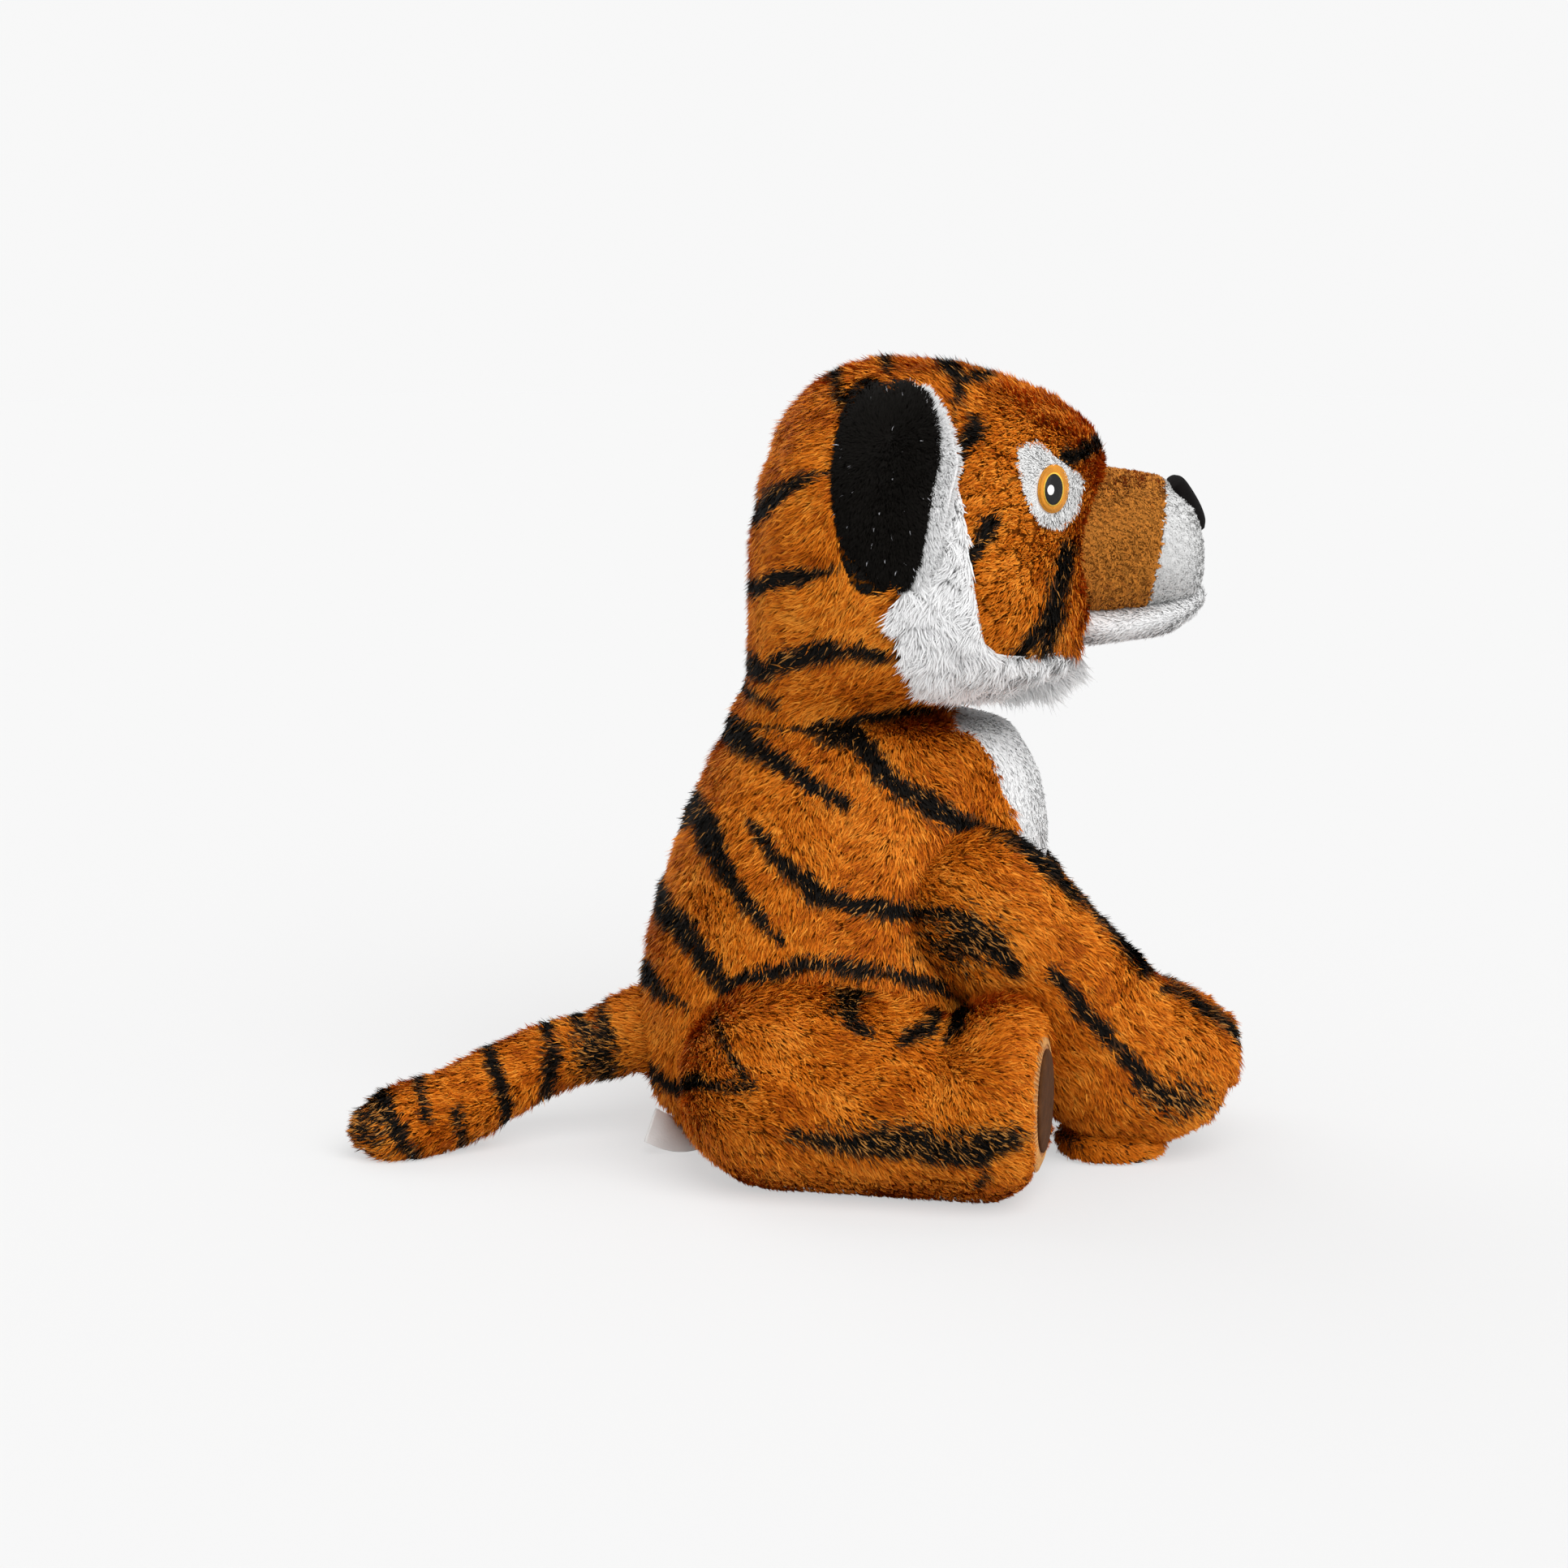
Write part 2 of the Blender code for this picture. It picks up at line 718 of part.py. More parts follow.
def build_face(side, word, forms):
    """Eye patch, embroidered iris, pupil and glint, and the white ruff of one cheek."""
    patch = rounded_outline(eye_patch_shares, eye_patch_width, eye_patch_height, eye_x, eye_z, 2)
    iris = ellipse_outline(eye_x, eye_z, iris_half_width, iris_half_height, 16)
    pupil = ellipse_outline(eye_x, eye_z, pupil_half_width, pupil_half_height, 12)
    glint = ellipse_outline(eye_x - glint_back, eye_z, glint_half_width, glint_half_height, 8)
    ruff = rounded_outline(ruff_shares, ruff_length, ruff_height, ruff_x, ruff_z, 1)
    return [
        head_patch("eye_patch_" + word, patch, side, forms[0], forms[1], "white_plush"),
        head_patch("iris_" + word, iris, side, forms[2], forms[3], "amber_thread"),
        head_patch("pupil_" + word, pupil, side, forms[4], forms[5], "black_thread"),
        head_patch("eye_glint_" + word, glint, side, forms[6], forms[7], "white_thread"),
        head_patch("cheek_ruff_" + word, ruff, side, forms[0], forms[8], "white_plush"),
    ]


def head_side(x, z):
    """Half width of the head at a place along it and a height."""
    rows = smooth_rows(head_shares, 60)
    share = (z - head_base) / head_height
    back, front, wide = (np.interp(share, rows[:, 0], rows[:, column]) for column in (1, 2, 3))
    middle = (head_front * front - head_back * back) / 2
    half = (head_front * front + head_back * back) / 2
    place = np.minimum(np.abs((x - middle) / half), 1.0)
    return head_half_width * wide * (1 - place**head_power) ** (1 / head_power)


def ear_root(share, side):
    """Points of an ear's root just under the head's side, share from -1 at the foot to 1 at the top."""
    x = ear_x + ear_root_sweep * share**2
    z = ear_z + ear_half_height * ear_root_height_share * share
    return np.stack([x, side * (head_side(x, z) - ear_embed), z], axis=-1)


def ear_axis(side):
    """Middle and direction of the hinge line through the two ends of an ear's root."""
    foot, top = ear_root(np.array([-1.0, 1.0]), side)
    along = (top - foot) / np.linalg.norm(top - foot)
    middle = (foot + top) / 2 + np.array([0, side * ear_embed, 0])
    return middle, along


def ear_layer_solid(name, side, margin, low_face, high_face, puffs, material, origin):
    """One layer of an ear: a squared half oval, cupped forward, each face with its own puff."""
    spokes, steps = 11, 5
    out = np.array([math.sin(ear_turn), side * math.cos(ear_turn), 0])
    back = np.array([-math.cos(ear_turn), side * math.sin(ear_turn), 0])
    angle = np.linspace(-math.pi / 2, math.pi / 2, spokes)
    tall = np.sign(np.sin(angle)) * np.abs(np.sin(angle)) ** (2 / ear_square)
    stretch = 1 + margin / ear_reach
    far = ear_reach * np.maximum(np.cos(angle), 0.0) ** (2 / ear_square)
    points = []
    for face, puff in ((low_face, puffs[0]), (high_face, puffs[1])):
        for step in range(steps):
            share = step / (steps - 1)
            root = ear_root(tall, side) + np.outer(max(margin - ear_lining_reach, 0.0) * tall, [0, 0, 1])
            rim = 1 - share**3
            lift = low_face + (face - low_face) * (0.5 + 0.5 * rim)
            lift = lift + puff * rim * (1 - tall**4)
            place = share * stretch
            cup = -ear_cup * (place * far / ear_reach) ** 2
            rise = (ear_half_height * (1 - ear_root_height_share)) * tall * place * far / ear_reach
            points.append(
                root + np.outer(place * far, out) + np.outer(lift + cup, back)
                + np.outer(rise, [0, 0, 1])
            )
    grid = np.array(points).reshape(2, steps, spokes, 3)
    block = steps * spokes
    faces = []
    for face in (0, 1):
        for step in range(steps - 1):
            for k in range(spokes - 1):
                first = face * block + step * spokes + k
                faces.append((first, first + 1, first + spokes + 1, first + spokes))
    border = [step * spokes for step in range(steps - 1)]
    border += [(steps - 1) * spokes + k for k in range(spokes - 1)]
    border += [step * spokes + spokes - 1 for step in range(steps - 1, 0, -1)]
    border += [k for k in range(spokes - 1, 0, -1)]
    for k, first in enumerate(border):
        after = border[(k + 1) % len(border)]
        faces.append((first, after, block + after, block + first))
    mesh = bpy.data.meshes.new(name)
    mesh.from_pydata([tuple(p) for p in grid.reshape(-1, 3) - np.array(origin)], [], faces)
    return finish_mesh(name, mesh, material, origin)


def build_ear(side, word, head_trim):
    middle, along = ear_axis(side)
    origin = tuple(middle)
    rear = ear_layer_solid(
        "ear_back_" + word, side, 0.0, seam_gap / 2, ear_layer, (0.0, ear_puff), "black_plush",
        origin,
    )
    lining = ear_layer_solid(
        "ear_lining_" + word, side, ear_lining_reach, -seam_gap / 2, -ear_layer,
        (0.0, -ear_puff), "white_plush", origin,
    )
    thick = ear_layer + swing_gap
    room = make_cutter(
        ear_layer_solid(
            "ear_room_" + word, side, ear_lining_reach + 2 * swing_gap, -thick, thick,
            (-ear_puff, ear_puff), None, origin,
        )
    )
    # The same head shape, as the ear meets it when it is folded back to its limit.
    rings = head_rings(seam_gap)
    ends = np.array([(neck_x, 0, rings[0][0, 2]), head_crown(seam_gap)])
    pull = [turned(ring, middle, along, -side * ear_swing) for ring in rings]
    ends = turned(ends, middle, along, -side * ear_swing)
    folded = make_cutter(
        add_solid("ear_fold_" + word, pull, tuple(ends[0]), tuple(ends[1]), None, (0.0, 0.0, 0.0))
    )
    for layer in (rear, lining):
        cut(layer, head_trim)
        cut(layer, folded)
    return origin, [rear, lining], room


# Limbs and tail


def limb_rings(stations, offset, sides, floor):
    """Rings square to a path in the side plane. Each station is centre, tangent, tall and wide half."""
    along, across = round_shape(sides, 2.1)
    rings = []
    for centre, tangent, tall, wide in stations:
        lift = np.array([-tangent[2], 0, tangent[0]])
        lift /= np.linalg.norm(lift)
        ring = (
            centre
            + np.outer(along * max(tall + offset, cloth), lift)
            + np.outer(across * max(wide + offset, cloth), [0, 1, 0])
        )
        ring[:, 2] = np.maximum(ring[:, 2], floor - offset)
        rings.append(ring)
    return rings


def turned(points, pivot, axis, angle):
    """Points turned by an angle about a line through pivot along axis."""
    axis = np.array(axis, float)
    rest = np.array(points, float) - pivot
    spun = (
        rest * math.cos(angle)
        + np.cross(axis, rest) * math.sin(angle)
        + np.outer(rest @ axis, axis).reshape(rest.shape) * (1 - math.cos(angle))
    )
    return spun + pivot


def ball_stations(centre, ahead, radius, half_width, offset, root_share):
    """Stations round the back half of a ball root."""
    stations = []
    for share in -np.cos(np.linspace(math.acos(-root_share), math.pi / 2, ball_rows)):
        spread = math.sqrt(1 - share**2)
        stations.append(
            (centre + ahead * share * (radius + offset), ahead, radius * spread, half_width * spread)
        )
    return stations


def foreleg_path(side, offset):
    """Stations of a foreleg: a ball about the shoulder, then the leg, then the paw."""
    shoulder = np.array([shoulder_x, side * shoulder_y, shoulder_z])
    forward = np.array([math.cos(foreleg_slope), 0, -math.sin(foreleg_slope)])
    stations = ball_stations(
        shoulder, forward, shoulder_radius, shoulder_half_width, offset, ball_root_share
    )
    rows = np.array(foreleg_shares)
    centres = np.stack(
        [
            shoulder_x + foreleg_reach * rows[:, 0],
            side * (shoulder_y - foreleg_inset * rows[:, 2]),
            shoulder_z - foreleg_drop * rows[:, 1],
        ],
        axis=1,
    )
    tangents = np.gradient(centres, axis=0)
    tangents /= np.linalg.norm(tangents, axis=1)[:, None]
    for centre, tangent, row in zip(centres, tangents, rows):
        stations.append((centre, tangent, paw_half_height * row[3], paw_half_width * row[4]))
    return stations


def foreleg_form(name, side, offset, material, origin):
    """One closed layer of a foreleg, from its ball root to the toes."""
    stations = foreleg_path(side, offset)
    rings = limb_rings(stations, offset, foreleg_sides, paw_sole_thick + seam_gap)
    tip = stations[-1][0] + stations[-1][1] * (foreleg_reach * toe_share + offset)
    root = stations[0][0] - stations[0][1] * (shoulder_radius + offset) * (1 + ball_root_share)
    return add_solid(name, rings[::-1], tuple(tip), tuple(root), material, origin)


def cut_opening(cover, name, side, x, y, z, radius, reach):
    """Round opening through the body side of a limb's cover, where its wadding meets the torso."""
    ends = sorted((side * y, side * (y - reach)))
    cut(cover, make_cutter(add_prism(
        name, ellipse_outline(x, z, radius, radius, opening_sides), "Y", *ends, None, (0.0, 0.0, 0.0)
    )))


def foreleg_room(side, word):
    """Space in the torso for a foreleg's root and for the leg's swing above and below its rest."""
    low = -foreleg_slope - foreleg_down - swing_margin
    high = foreleg_up - foreleg_slope + swing_margin
    radius = shoulder_radius + swing_gap
    outline = []
    for angle in np.linspace(high + math.pi / 2, low + 3 * math.pi / 2, room_arc_points):
        outline.append((shoulder_x + radius * math.cos(angle), shoulder_z + radius * math.sin(angle)))
    for angle, side_turn in ((low, -1), (high, 1)):
        across = angle + side_turn * math.pi / 2
        outline.append((
            shoulder_x + radius * math.cos(across) + foreleg_reach * math.cos(angle),
            shoulder_z + radius * math.sin(across) + foreleg_reach * math.sin(angle),
        ))
    ends = sorted((
        side * (shoulder_y - shoulder_half_width - swing_gap - shoulder_spare),
        side * (shoulder_y + shoulder_half_width + overrun),
    ))
    return make_cutter(
        add_prism("foreleg_room_" + word, outline, "Y", *ends, None, (0.0, 0.0, 0.0))
    )


def build_foreleg(side, word):
    shoulder = (shoulder_x, side * shoulder_y, shoulder_z)
    cover = foreleg_form("foreleg_cover_" + word, side, 0.0, "orange_plush", shoulder)
    cut(cover, make_cutter(foreleg_form("foreleg_hollow_" + word, side, -cloth, None, shoulder)))
    cut_opening(
        cover, "foreleg_opening_" + word, side, shoulder_x, shoulder_y, shoulder_z,
        shoulder_opening_radius, shoulder_half_width + overrun,
    )
    stuffing = foreleg_form("foreleg_stuffing_" + word, side, -cloth - seam_gap, "wadding", shoulder)
    # The pad on the underside of the paw follows its roundness.
    outline = ellipse_outline(
        shoulder_x + foreleg_reach * paw_sole_share, side * (shoulder_y - foreleg_inset),
        paw_sole_half_length, paw_sole_half_width, 20,
    )
    sole = add_prism(
        "paw_sole_" + word, outline, "Z", -overrun, paw_sole_rise, "brown_pile", shoulder
    )
    under = foreleg_form("paw_under_" + word, side, paw_sole_thick + seam_gap, None, shoulder)
    cut(sole, make_cutter(under), "INTERSECT")
    cut(sole, make_cutter(foreleg_form("paw_skin_" + word, side, seam_gap, None, shoulder)))
    return [cover, stuffing, sole], foreleg_room(side, word)


def add_disc(name, centre, normal, first, half_first, half_second, thick, material, origin):
    """Oval of cloth of even thickness, standing on its back face."""
    normal, first = np.array(normal, float), np.array(first, float)
    second = np.cross(normal, first)
    angle = 2 * math.pi * np.arange(20) / 20
    oval = np.outer(half_first * np.cos(angle), first) + np.outer(half_second * np.sin(angle), second)
    centre = np.array(centre, float)
    rings = [centre + oval, centre + normal * thick + oval]
    return add_solid(name, rings, tuple(centre), tuple(centre + normal * thick), material, origin)


def hind_rings(side, offset, floor=0.0):
    """Rings of a hind leg, turned out about the upright hip line."""
    hip = np.array([hip_x, side * hip_y, 0.0])
    stations = []
    for share in -np.cos(np.linspace(math.acos(-ball_root_share), math.pi / 2, ball_rows)):
        spread = math.sqrt(1 - share**2)
        stations.append((share * (hip_radius + offset), spread, spread, 1.0))
    for length, wide, tall, centre in hind_shares:
        stations.append((length * (hind_length + offset), wide, tall, centre))
    along, across = round_shape(hind_sides, 2.0)
    rings = []
    for place, wide, tall, centre in stations:
        ring = np.stack(
            [
                np.full(hind_sides, hip[0] + place),
                hip[1] + across * (hip_radius * wide + offset),
                hind_half_height * centre - flat_depth + along * (hind_half_height * tall + offset),
            ],
            axis=1,
        )
        ring[:, 2] = np.maximum(ring[:, 2], floor - offset)
        rings.append(turned(ring, hip, (0, 0, side), hind_splay))
    return rings


def hind_form(name, side, offset, floor, material, origin):
    """One closed layer of a hind leg, from its ball root to the flat of the foot."""
    rings = hind_rings(side, offset, floor)
    root = rings[0].mean(axis=0) * (1 + ball_step_share) - rings[1].mean(axis=0) * ball_step_share
    return add_solid(
        name, rings[::-1], tuple(rings[-1].mean(axis=0)), tuple(root), material, origin
    )


def build_hind_leg(side, word):
    hip = (hip_x, side * hip_y, hind_half_height)
    outer = hind_rings(side, 0.0)
    cover = hind_form("hind_leg_cover_" + word, side, 0.0, 0.0, "orange_plush", hip)
    cut(cover, make_cutter(hind_form("hind_leg_hollow_" + word, side, -cloth, 0.0, None, hip)))
    cut_opening(
        cover, "hind_leg_opening_" + word, side, hip_x, hip_y, hind_half_height,
        hip_opening_radius, hip_radius + overrun,
    )
    stuffing = hind_form("hind_leg_stuffing_" + word, side, -cloth - seam_gap, 0.0, "wadding", hip)
    pivot = np.array([hip_x, side * hip_y, 0.0])
    ahead = turned(np.array([[1.0, 0, 0]]), np.zeros(3), (0, 0, side), hind_splay)[0]
    middle = pivot + ahead * hind_length + np.array([0, 0, outer[-1][:, 2].mean()])
    sole = add_disc(
        "foot_sole_" + word, middle + ahead * seam_gap, ahead, (0, 0, 1), foot_sole_half_height,
        foot_sole_half_width, foot_sole_thick, "tan_pile", hip,
    )
    patch = add_disc(
        "sole_patch_" + word, middle + ahead * (2 * seam_gap + foot_sole_thick), ahead, (0, 0, 1),
        sole_patch_radius, sole_patch_radius, sole_patch_thick, "brown_pile", hip,
    )
    room = make_cutter(hind_form("hind_leg_room_" + word, side, hip_gap, -overrun, None, hip))
    return [cover, stuffing, sole, patch], room


def tail_path(offset):
    root = np.array([tail_x, 0.0, tail_z])
    back = np.array([-1.0, 0, 0])
    stations = ball_stations(root, back, tail_radius, tail_radius, offset, tail_root_share)
    rows = smooth_rows(tail_shares, tail_rows)
    centres = np.stack(
        [
            tail_x - tail_length * rows[:, 0],
            -tail_bend * rows[:, 2],
            tail_z - tail_drop * rows[:, 1],
        ],
        axis=1,
    )
    tangents = np.gradient(centres, axis=0)
    tangents /= np.linalg.norm(tangents, axis=1)[:, None]
    for centre, tangent, row in zip(centres, tangents, rows):
        stations.append((centre, tangent, tail_half_width * row[3], tail_half_width * row[3]))
    return stations


def tail_layer(offset):
    stations = tail_path(offset)
    rings = limb_rings(stations, offset, tail_sides, 0.0)
    tip = stations[-1][0] + stations[-1][1] * (tail_length * toe_share + offset)
    return rings, tip


def build_tail():
    root = (tail_x, 0.0, tail_z)
    outer, tip = tail_layer(0.0)
    inner, inner_tip = tail_layer(-cloth)
    inner[0] += outer[0].mean(axis=0) - inner[0].mean(axis=0)
    cover = add_solid("tail_cover", outer[::-1] + inner, tuple(tip), tuple(inner_tip), "orange_plush", root)
    fill, fill_tip = tail_layer(-cloth - seam_gap)
    stuffing = add_solid(
        "tail_stuffing", fill[::-1], tuple(fill_tip), tuple(fill[0].mean(axis=0)), "wadding", root
    )
    # A ball seat in the torso leaves the root free to swing.
    rings = []
    seat = tail_radius + swing_gap
    for spread in np.linspace(0, math.pi, 9)[1:-1]:
        reach = seat * math.sin(spread)
        ring = flat_ring(tail_z - seat * math.cos(spread), reach - tail_x, reach + tail_x, reach, 16, 2.0)
        rings.append(ring)
    room = make_cutter(
        add_solid(
            "tail_room", rings, (tail_x, 0, tail_z - seat), (tail_x, 0, tail_z + seat), None, root
        )
    )
    return [cover, stuffing], room


def build_label(torso_room):
    """Bare care label sewn into the seam at the back of the seat."""
    half = label_width / 2
    droop = math.tan(label_droop) * label_length
    points = []
    for z_shift in (0.0, label_thick):
        for x, drop in ((-label_back + label_length, 0.0), (-label_back, droop)):
            for y in (-label_side - half, -label_side + half):
                points.append((x, y, label_z - drop + z_shift))
    faces = [(0, 1, 3, 2), (4, 6, 7, 5), (0, 2, 6, 4), (1, 5, 7, 3), (0, 4, 5, 1), (2, 3, 7, 6)]
    mesh = bpy.data.meshes.new("care_label")
    mesh.from_pydata(points, [], faces)
    label = finish_mesh("care_label", mesh, "label_satin", (0.0, 0.0, 0.0))
    cut(label, torso_room)
    return label


def torso_form(name, offset):
    rings = torso_rings(offset)
    top = neck_rim(neck_rim_radius + offset, torso_sides)
    return make_cutter(
        add_solid(
            name, rings + [top], (rings[0][:, 0].mean(), 0, rings[0][0, 2]),
            (neck_x, 0, top[0, 2]), None, (0.0, 0.0, 0.0),
        )
    )


def add_group(name, place, members, parent):
    """Empty on a joint's axis that carries the pieces of one moving body."""
    empty = bpy.data.objects.new(name, None)
    bpy.context.scene.collection.objects.link(empty)
    empty.location = place
    for member in list(members):
        member.parent = empty
        member.location = tuple(np.array(member.location) - np.array(place))
    if parent:
        empty.parent = parent
    return empty


def centre_on_floor(base):
    """Stands the tiger on the middle of its own footprint."""
    bpy.context.view_layer.update()
    graph = bpy.context.evaluated_depsgraph_get()
    lows, highs = [], []
    for made in bpy.context.scene.objects:
        if made.type != "MESH" or made.hide_render:
            continue
        evaluated = made.evaluated_get(graph)
        mesh = evaluated.to_mesh()
        points = np.empty(len(mesh.vertices) * 3, np.float32)
        mesh.vertices.foreach_get("co", points)
        world = np.array(evaluated.matrix_world)
        points = points.reshape(-1, 3) @ world[:3, :3].T + world[:3, 3]
        evaluated.to_mesh_clear()
        lows.append(points.min(axis=0))
        highs.append(points.max(axis=0))
    low, high = np.min(lows, axis=0), np.max(highs, axis=0)
    base.location = (-(low[0] + high[0]) / 2, -(low[1] + high[1]) / 2, -low[2])


def main():
    clear_scene()
    cover, chest, stuffing, bag = build_torso()
    neck = build_neck()
    head_cover, head_stuffing = build_head()
    head_trim = head_form("head_trim", seam_gap)
    steps = [seam_gap]
    steps.append(steps[-1] + eye_patch_thick)
    for _ in range(3):
        steps.append(steps[-1] + seam_gap)
        steps.append(steps[-1] + thread_thick)
    steps.append(seam_gap + ruff_thick)
    forms = [head_form("head_layer_%d" % k, step) for k, step in enumerate(steps)]
    head_pieces = [head_cover, head_stuffing] + build_muzzle(head_trim)
    base_pieces = [cover, chest, stuffing, bag, build_label(torso_form("torso_trim", seam_gap))]
    base = add_group("tiger", (0.0, 0.0, 0.0), base_pieces, None)
    neck_group = add_group("neck_pivot", (neck_x, 0.0, neck_z), [neck], base)
    neck_group.location = (neck_x, 0.0, neck_z)
    ears = []
    rooms = []
    jaw_room = make_cutter(jaw_form("jaw_room", seam_gap, None, (0.0, 0.0, 0.0)))
    for side, word in ((-1, "right"), (1, "left")):
        face_pieces = build_face(side, word, forms)
        head_pieces += face_pieces
        place, ear_pieces, room = build_ear(side, word, head_trim)
        ears.append((word, place, ear_pieces))
        cut(face_pieces[-1], room)
        cut(face_pieces[-1], jaw_room)
        pieces, room = build_foreleg(side, word)
        rooms.append(room)
        add_group("shoulder_pivot_" + word, (shoulder_x, side * shoulder_y, shoulder_z), pieces, base)
        pieces, room = build_hind_leg(side, word)
        rooms.append(room)
        add_group("hip_pivot_" + word, (hip_x, side * hip_y, hind_half_height), pieces, base)
    head_group = add_group("head_pivot", (neck_x, 0.0, neck_z), head_pieces, base)
    for word, place, pieces in ears:
        group = add_group("ear_pivot_" + word, place, pieces, None)
        group.parent = head_group
        group.location = tuple(np.array(place) - np.array([neck_x, 0.0, neck_z]))
    tail_pieces, tail_room = build_tail()
    add_group("tail_pivot", (tail_x, 0.0, tail_z), tail_pieces, base)
    rooms.append(tail_room)
    for target in (cover, stuffing, chest):
        for room in rooms:
            cut(target, room)
    for made in bpy.context.scene.objects:
        if made.type == "MESH" and made.hide_render:
            made.parent = base
    centre_on_floor(base)


main()
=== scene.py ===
import bpy
import math
import numpy as np
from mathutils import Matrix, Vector


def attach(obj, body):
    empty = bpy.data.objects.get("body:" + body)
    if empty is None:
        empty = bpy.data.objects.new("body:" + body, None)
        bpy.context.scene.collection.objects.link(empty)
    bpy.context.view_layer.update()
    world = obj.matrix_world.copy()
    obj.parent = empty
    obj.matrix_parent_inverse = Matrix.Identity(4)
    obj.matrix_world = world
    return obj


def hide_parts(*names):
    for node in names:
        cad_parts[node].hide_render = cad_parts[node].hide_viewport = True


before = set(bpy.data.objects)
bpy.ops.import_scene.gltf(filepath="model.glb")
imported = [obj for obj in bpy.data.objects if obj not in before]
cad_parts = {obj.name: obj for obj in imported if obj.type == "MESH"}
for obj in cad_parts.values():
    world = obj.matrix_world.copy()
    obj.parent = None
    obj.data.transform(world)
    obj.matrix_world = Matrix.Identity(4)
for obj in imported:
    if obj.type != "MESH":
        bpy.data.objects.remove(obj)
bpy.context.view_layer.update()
print("frame loaded")

# Everything below is worked out in millimetres from the upright line through the seat.
mm = 0.001
seatAhead = 23.72      # that line stands this far ahead of the middle of the footprint
bothSides = ((-1, "Right"), (1, "Left"))

# camera, light and floor

cameraSetup = {
    "lookAt": (-0.48, 0.0, 114.8), "distance": 1100.0, "above": 11.0, "viewWidth": 496.5, "sensor": 36.0,
    "nearest": 0.05,
}
lampSetup = {
    # name: strength, softness in degrees, where the light comes from
    "keyLamp": (2.1, 50.0, (0.35, -0.75, 1.0)),
    "fillLamp": (0.7, 70.0, (0.9, -0.9, 0.35)),
    "rimLamp": (0.7, 50.0, (-0.7, 0.8, 0.8)),
}
paperSetup = {"seen": 0.937, "room": 0.62, "white": 0.776, "shadowShare": 0.45, "radius": 3000.0, "sides": 96}


def addObject(name, data):
    made = bpy.data.objects.new(name, data)
    bpy.context.scene.collection.objects.link(made)
    return made


def grey(level):
    return (level, level, level, 1)


def makeCamera():
    setup = cameraSetup
    above = math.radians(setup["above"])
    away = Vector((0.0, -math.cos(above), math.sin(above))) * setup["distance"] * mm
    data = bpy.data.cameras.new("studioCamera")
    data.sensor_width = setup["sensor"]
    data.lens = setup["sensor"] * setup["distance"] / setup["viewWidth"]
    data.clip_start = setup["nearest"]
    camera = addObject("studioCamera", data)
    camera.location = Vector(setup["lookAt"]) * mm + away
    camera.rotation_euler = (-away).to_track_quat("-Z", "Y").to_euler()
    bpy.context.scene.camera = camera


def mixBySight(tree, outKind, share, unseen, seen):
    # the first shader lights the toy; rays straight from the camera see a share of the second
    nodes, links = tree.nodes, tree.links
    nodes.clear()
    scale = nodes.new("ShaderNodeMath")
    scale.operation = "MULTIPLY"
    scale.inputs[1].default_value = share
    mix = nodes.new("ShaderNodeMixShader")
    links.new(nodes.new("ShaderNodeLightPath").outputs["Is Camera Ray"], scale.inputs[0])
    links.new(scale.outputs[0], mix.inputs[0])
    for place, (kind, socket, value) in enumerate((unseen, seen), 1):
        shader = nodes.new(kind)
        shader.inputs[socket].default_value = value
        links.new(shader.outputs[0], mix.inputs[place])
    links.new(mix.outputs[0], nodes.new(outKind).inputs["Surface"])


def makeLight():
    for name, (strength, softness, place) in lampSetup.items():
        data = bpy.data.lights.new(name, "SUN")
        data.energy = strength
        data.angle = math.radians(softness)
        addObject(name, data).rotation_euler = Vector(place).to_track_quat("Z", "Y").to_euler()
    world = bpy.data.worlds.new("studioRoom")
    bpy.context.scene.world = world
    world.use_nodes = True
    mixBySight(
        world.node_tree, "ShaderNodeOutputWorld", 1.0,
        ("ShaderNodeBackground", "Strength", paperSetup["room"]),
        ("ShaderNodeBackground", "Color", grey(paperSetup["seen"])),
    )


def makeFloor():
    # a flat disc, seen mostly as bright paper, with a share of it left to take the shadow
    turn = np.linspace(0, 2 * np.pi, paperSetup["sides"], endpoint=False)
    rim = np.stack([np.cos(turn), np.sin(turn), 0 * turn], axis=1) * paperSetup["radius"] * mm
    mesh = bpy.data.meshes.new("paperFloor")
    mesh.from_pydata([tuple(p) for p in rim], [], [tuple(range(len(rim)))])
    material = bpy.data.materials.new("paper")
    material.use_nodes = True
    mixBySight(
        material.node_tree, "ShaderNodeOutputMaterial", 1 - paperSetup["shadowShare"],
        ("ShaderNodeBsdfDiffuse", "Color", grey(paperSetup["white"])),
        ("ShaderNodeEmission", "Color", grey(paperSetup["seen"])),
    )
    mesh.materials.append(material)
    addObject("paperFloor", mesh)


makeCamera()
makeLight()
makeFloor()
bpy.context.scene.view_settings.view_transform = "Standard"
print("camera, light and floor made")

# shapes


def smoothRings(keys, steps):
    # a cubic curve through each column of the key rings, each gap cut into equal steps
    keys = np.asarray(keys, float)
    padded = np.concatenate([[2 * keys[0] - keys[1]], keys, [2 * keys[-1] - keys[-2]]])
    place = np.linspace(0, len(keys) - 1, (len(keys) - 1) * steps + 1)
    low = np.minimum(place.astype(int), len(keys) - 2)
    t = (place - low).reshape((-1,) + (1,) * (keys.ndim - 1))
    before, first, second, after = (padded[low + k] for k in range(4))
    return 0.5 * (
        2 * first + (second - before) * t
        + (2 * before - 5 * first + 4 * second - after) * t**2
        + (3 * first - before - 3 * second + after) * t**3
    )


def rowsAt(rows, place, steps=6):
    # a table's other three columns, smoothed, at places along its first
    fine = smoothRings(rows, steps)
    return [np.interp(place, fine[:, 0], fine[:, k]) for k in (1, 2, 3)]


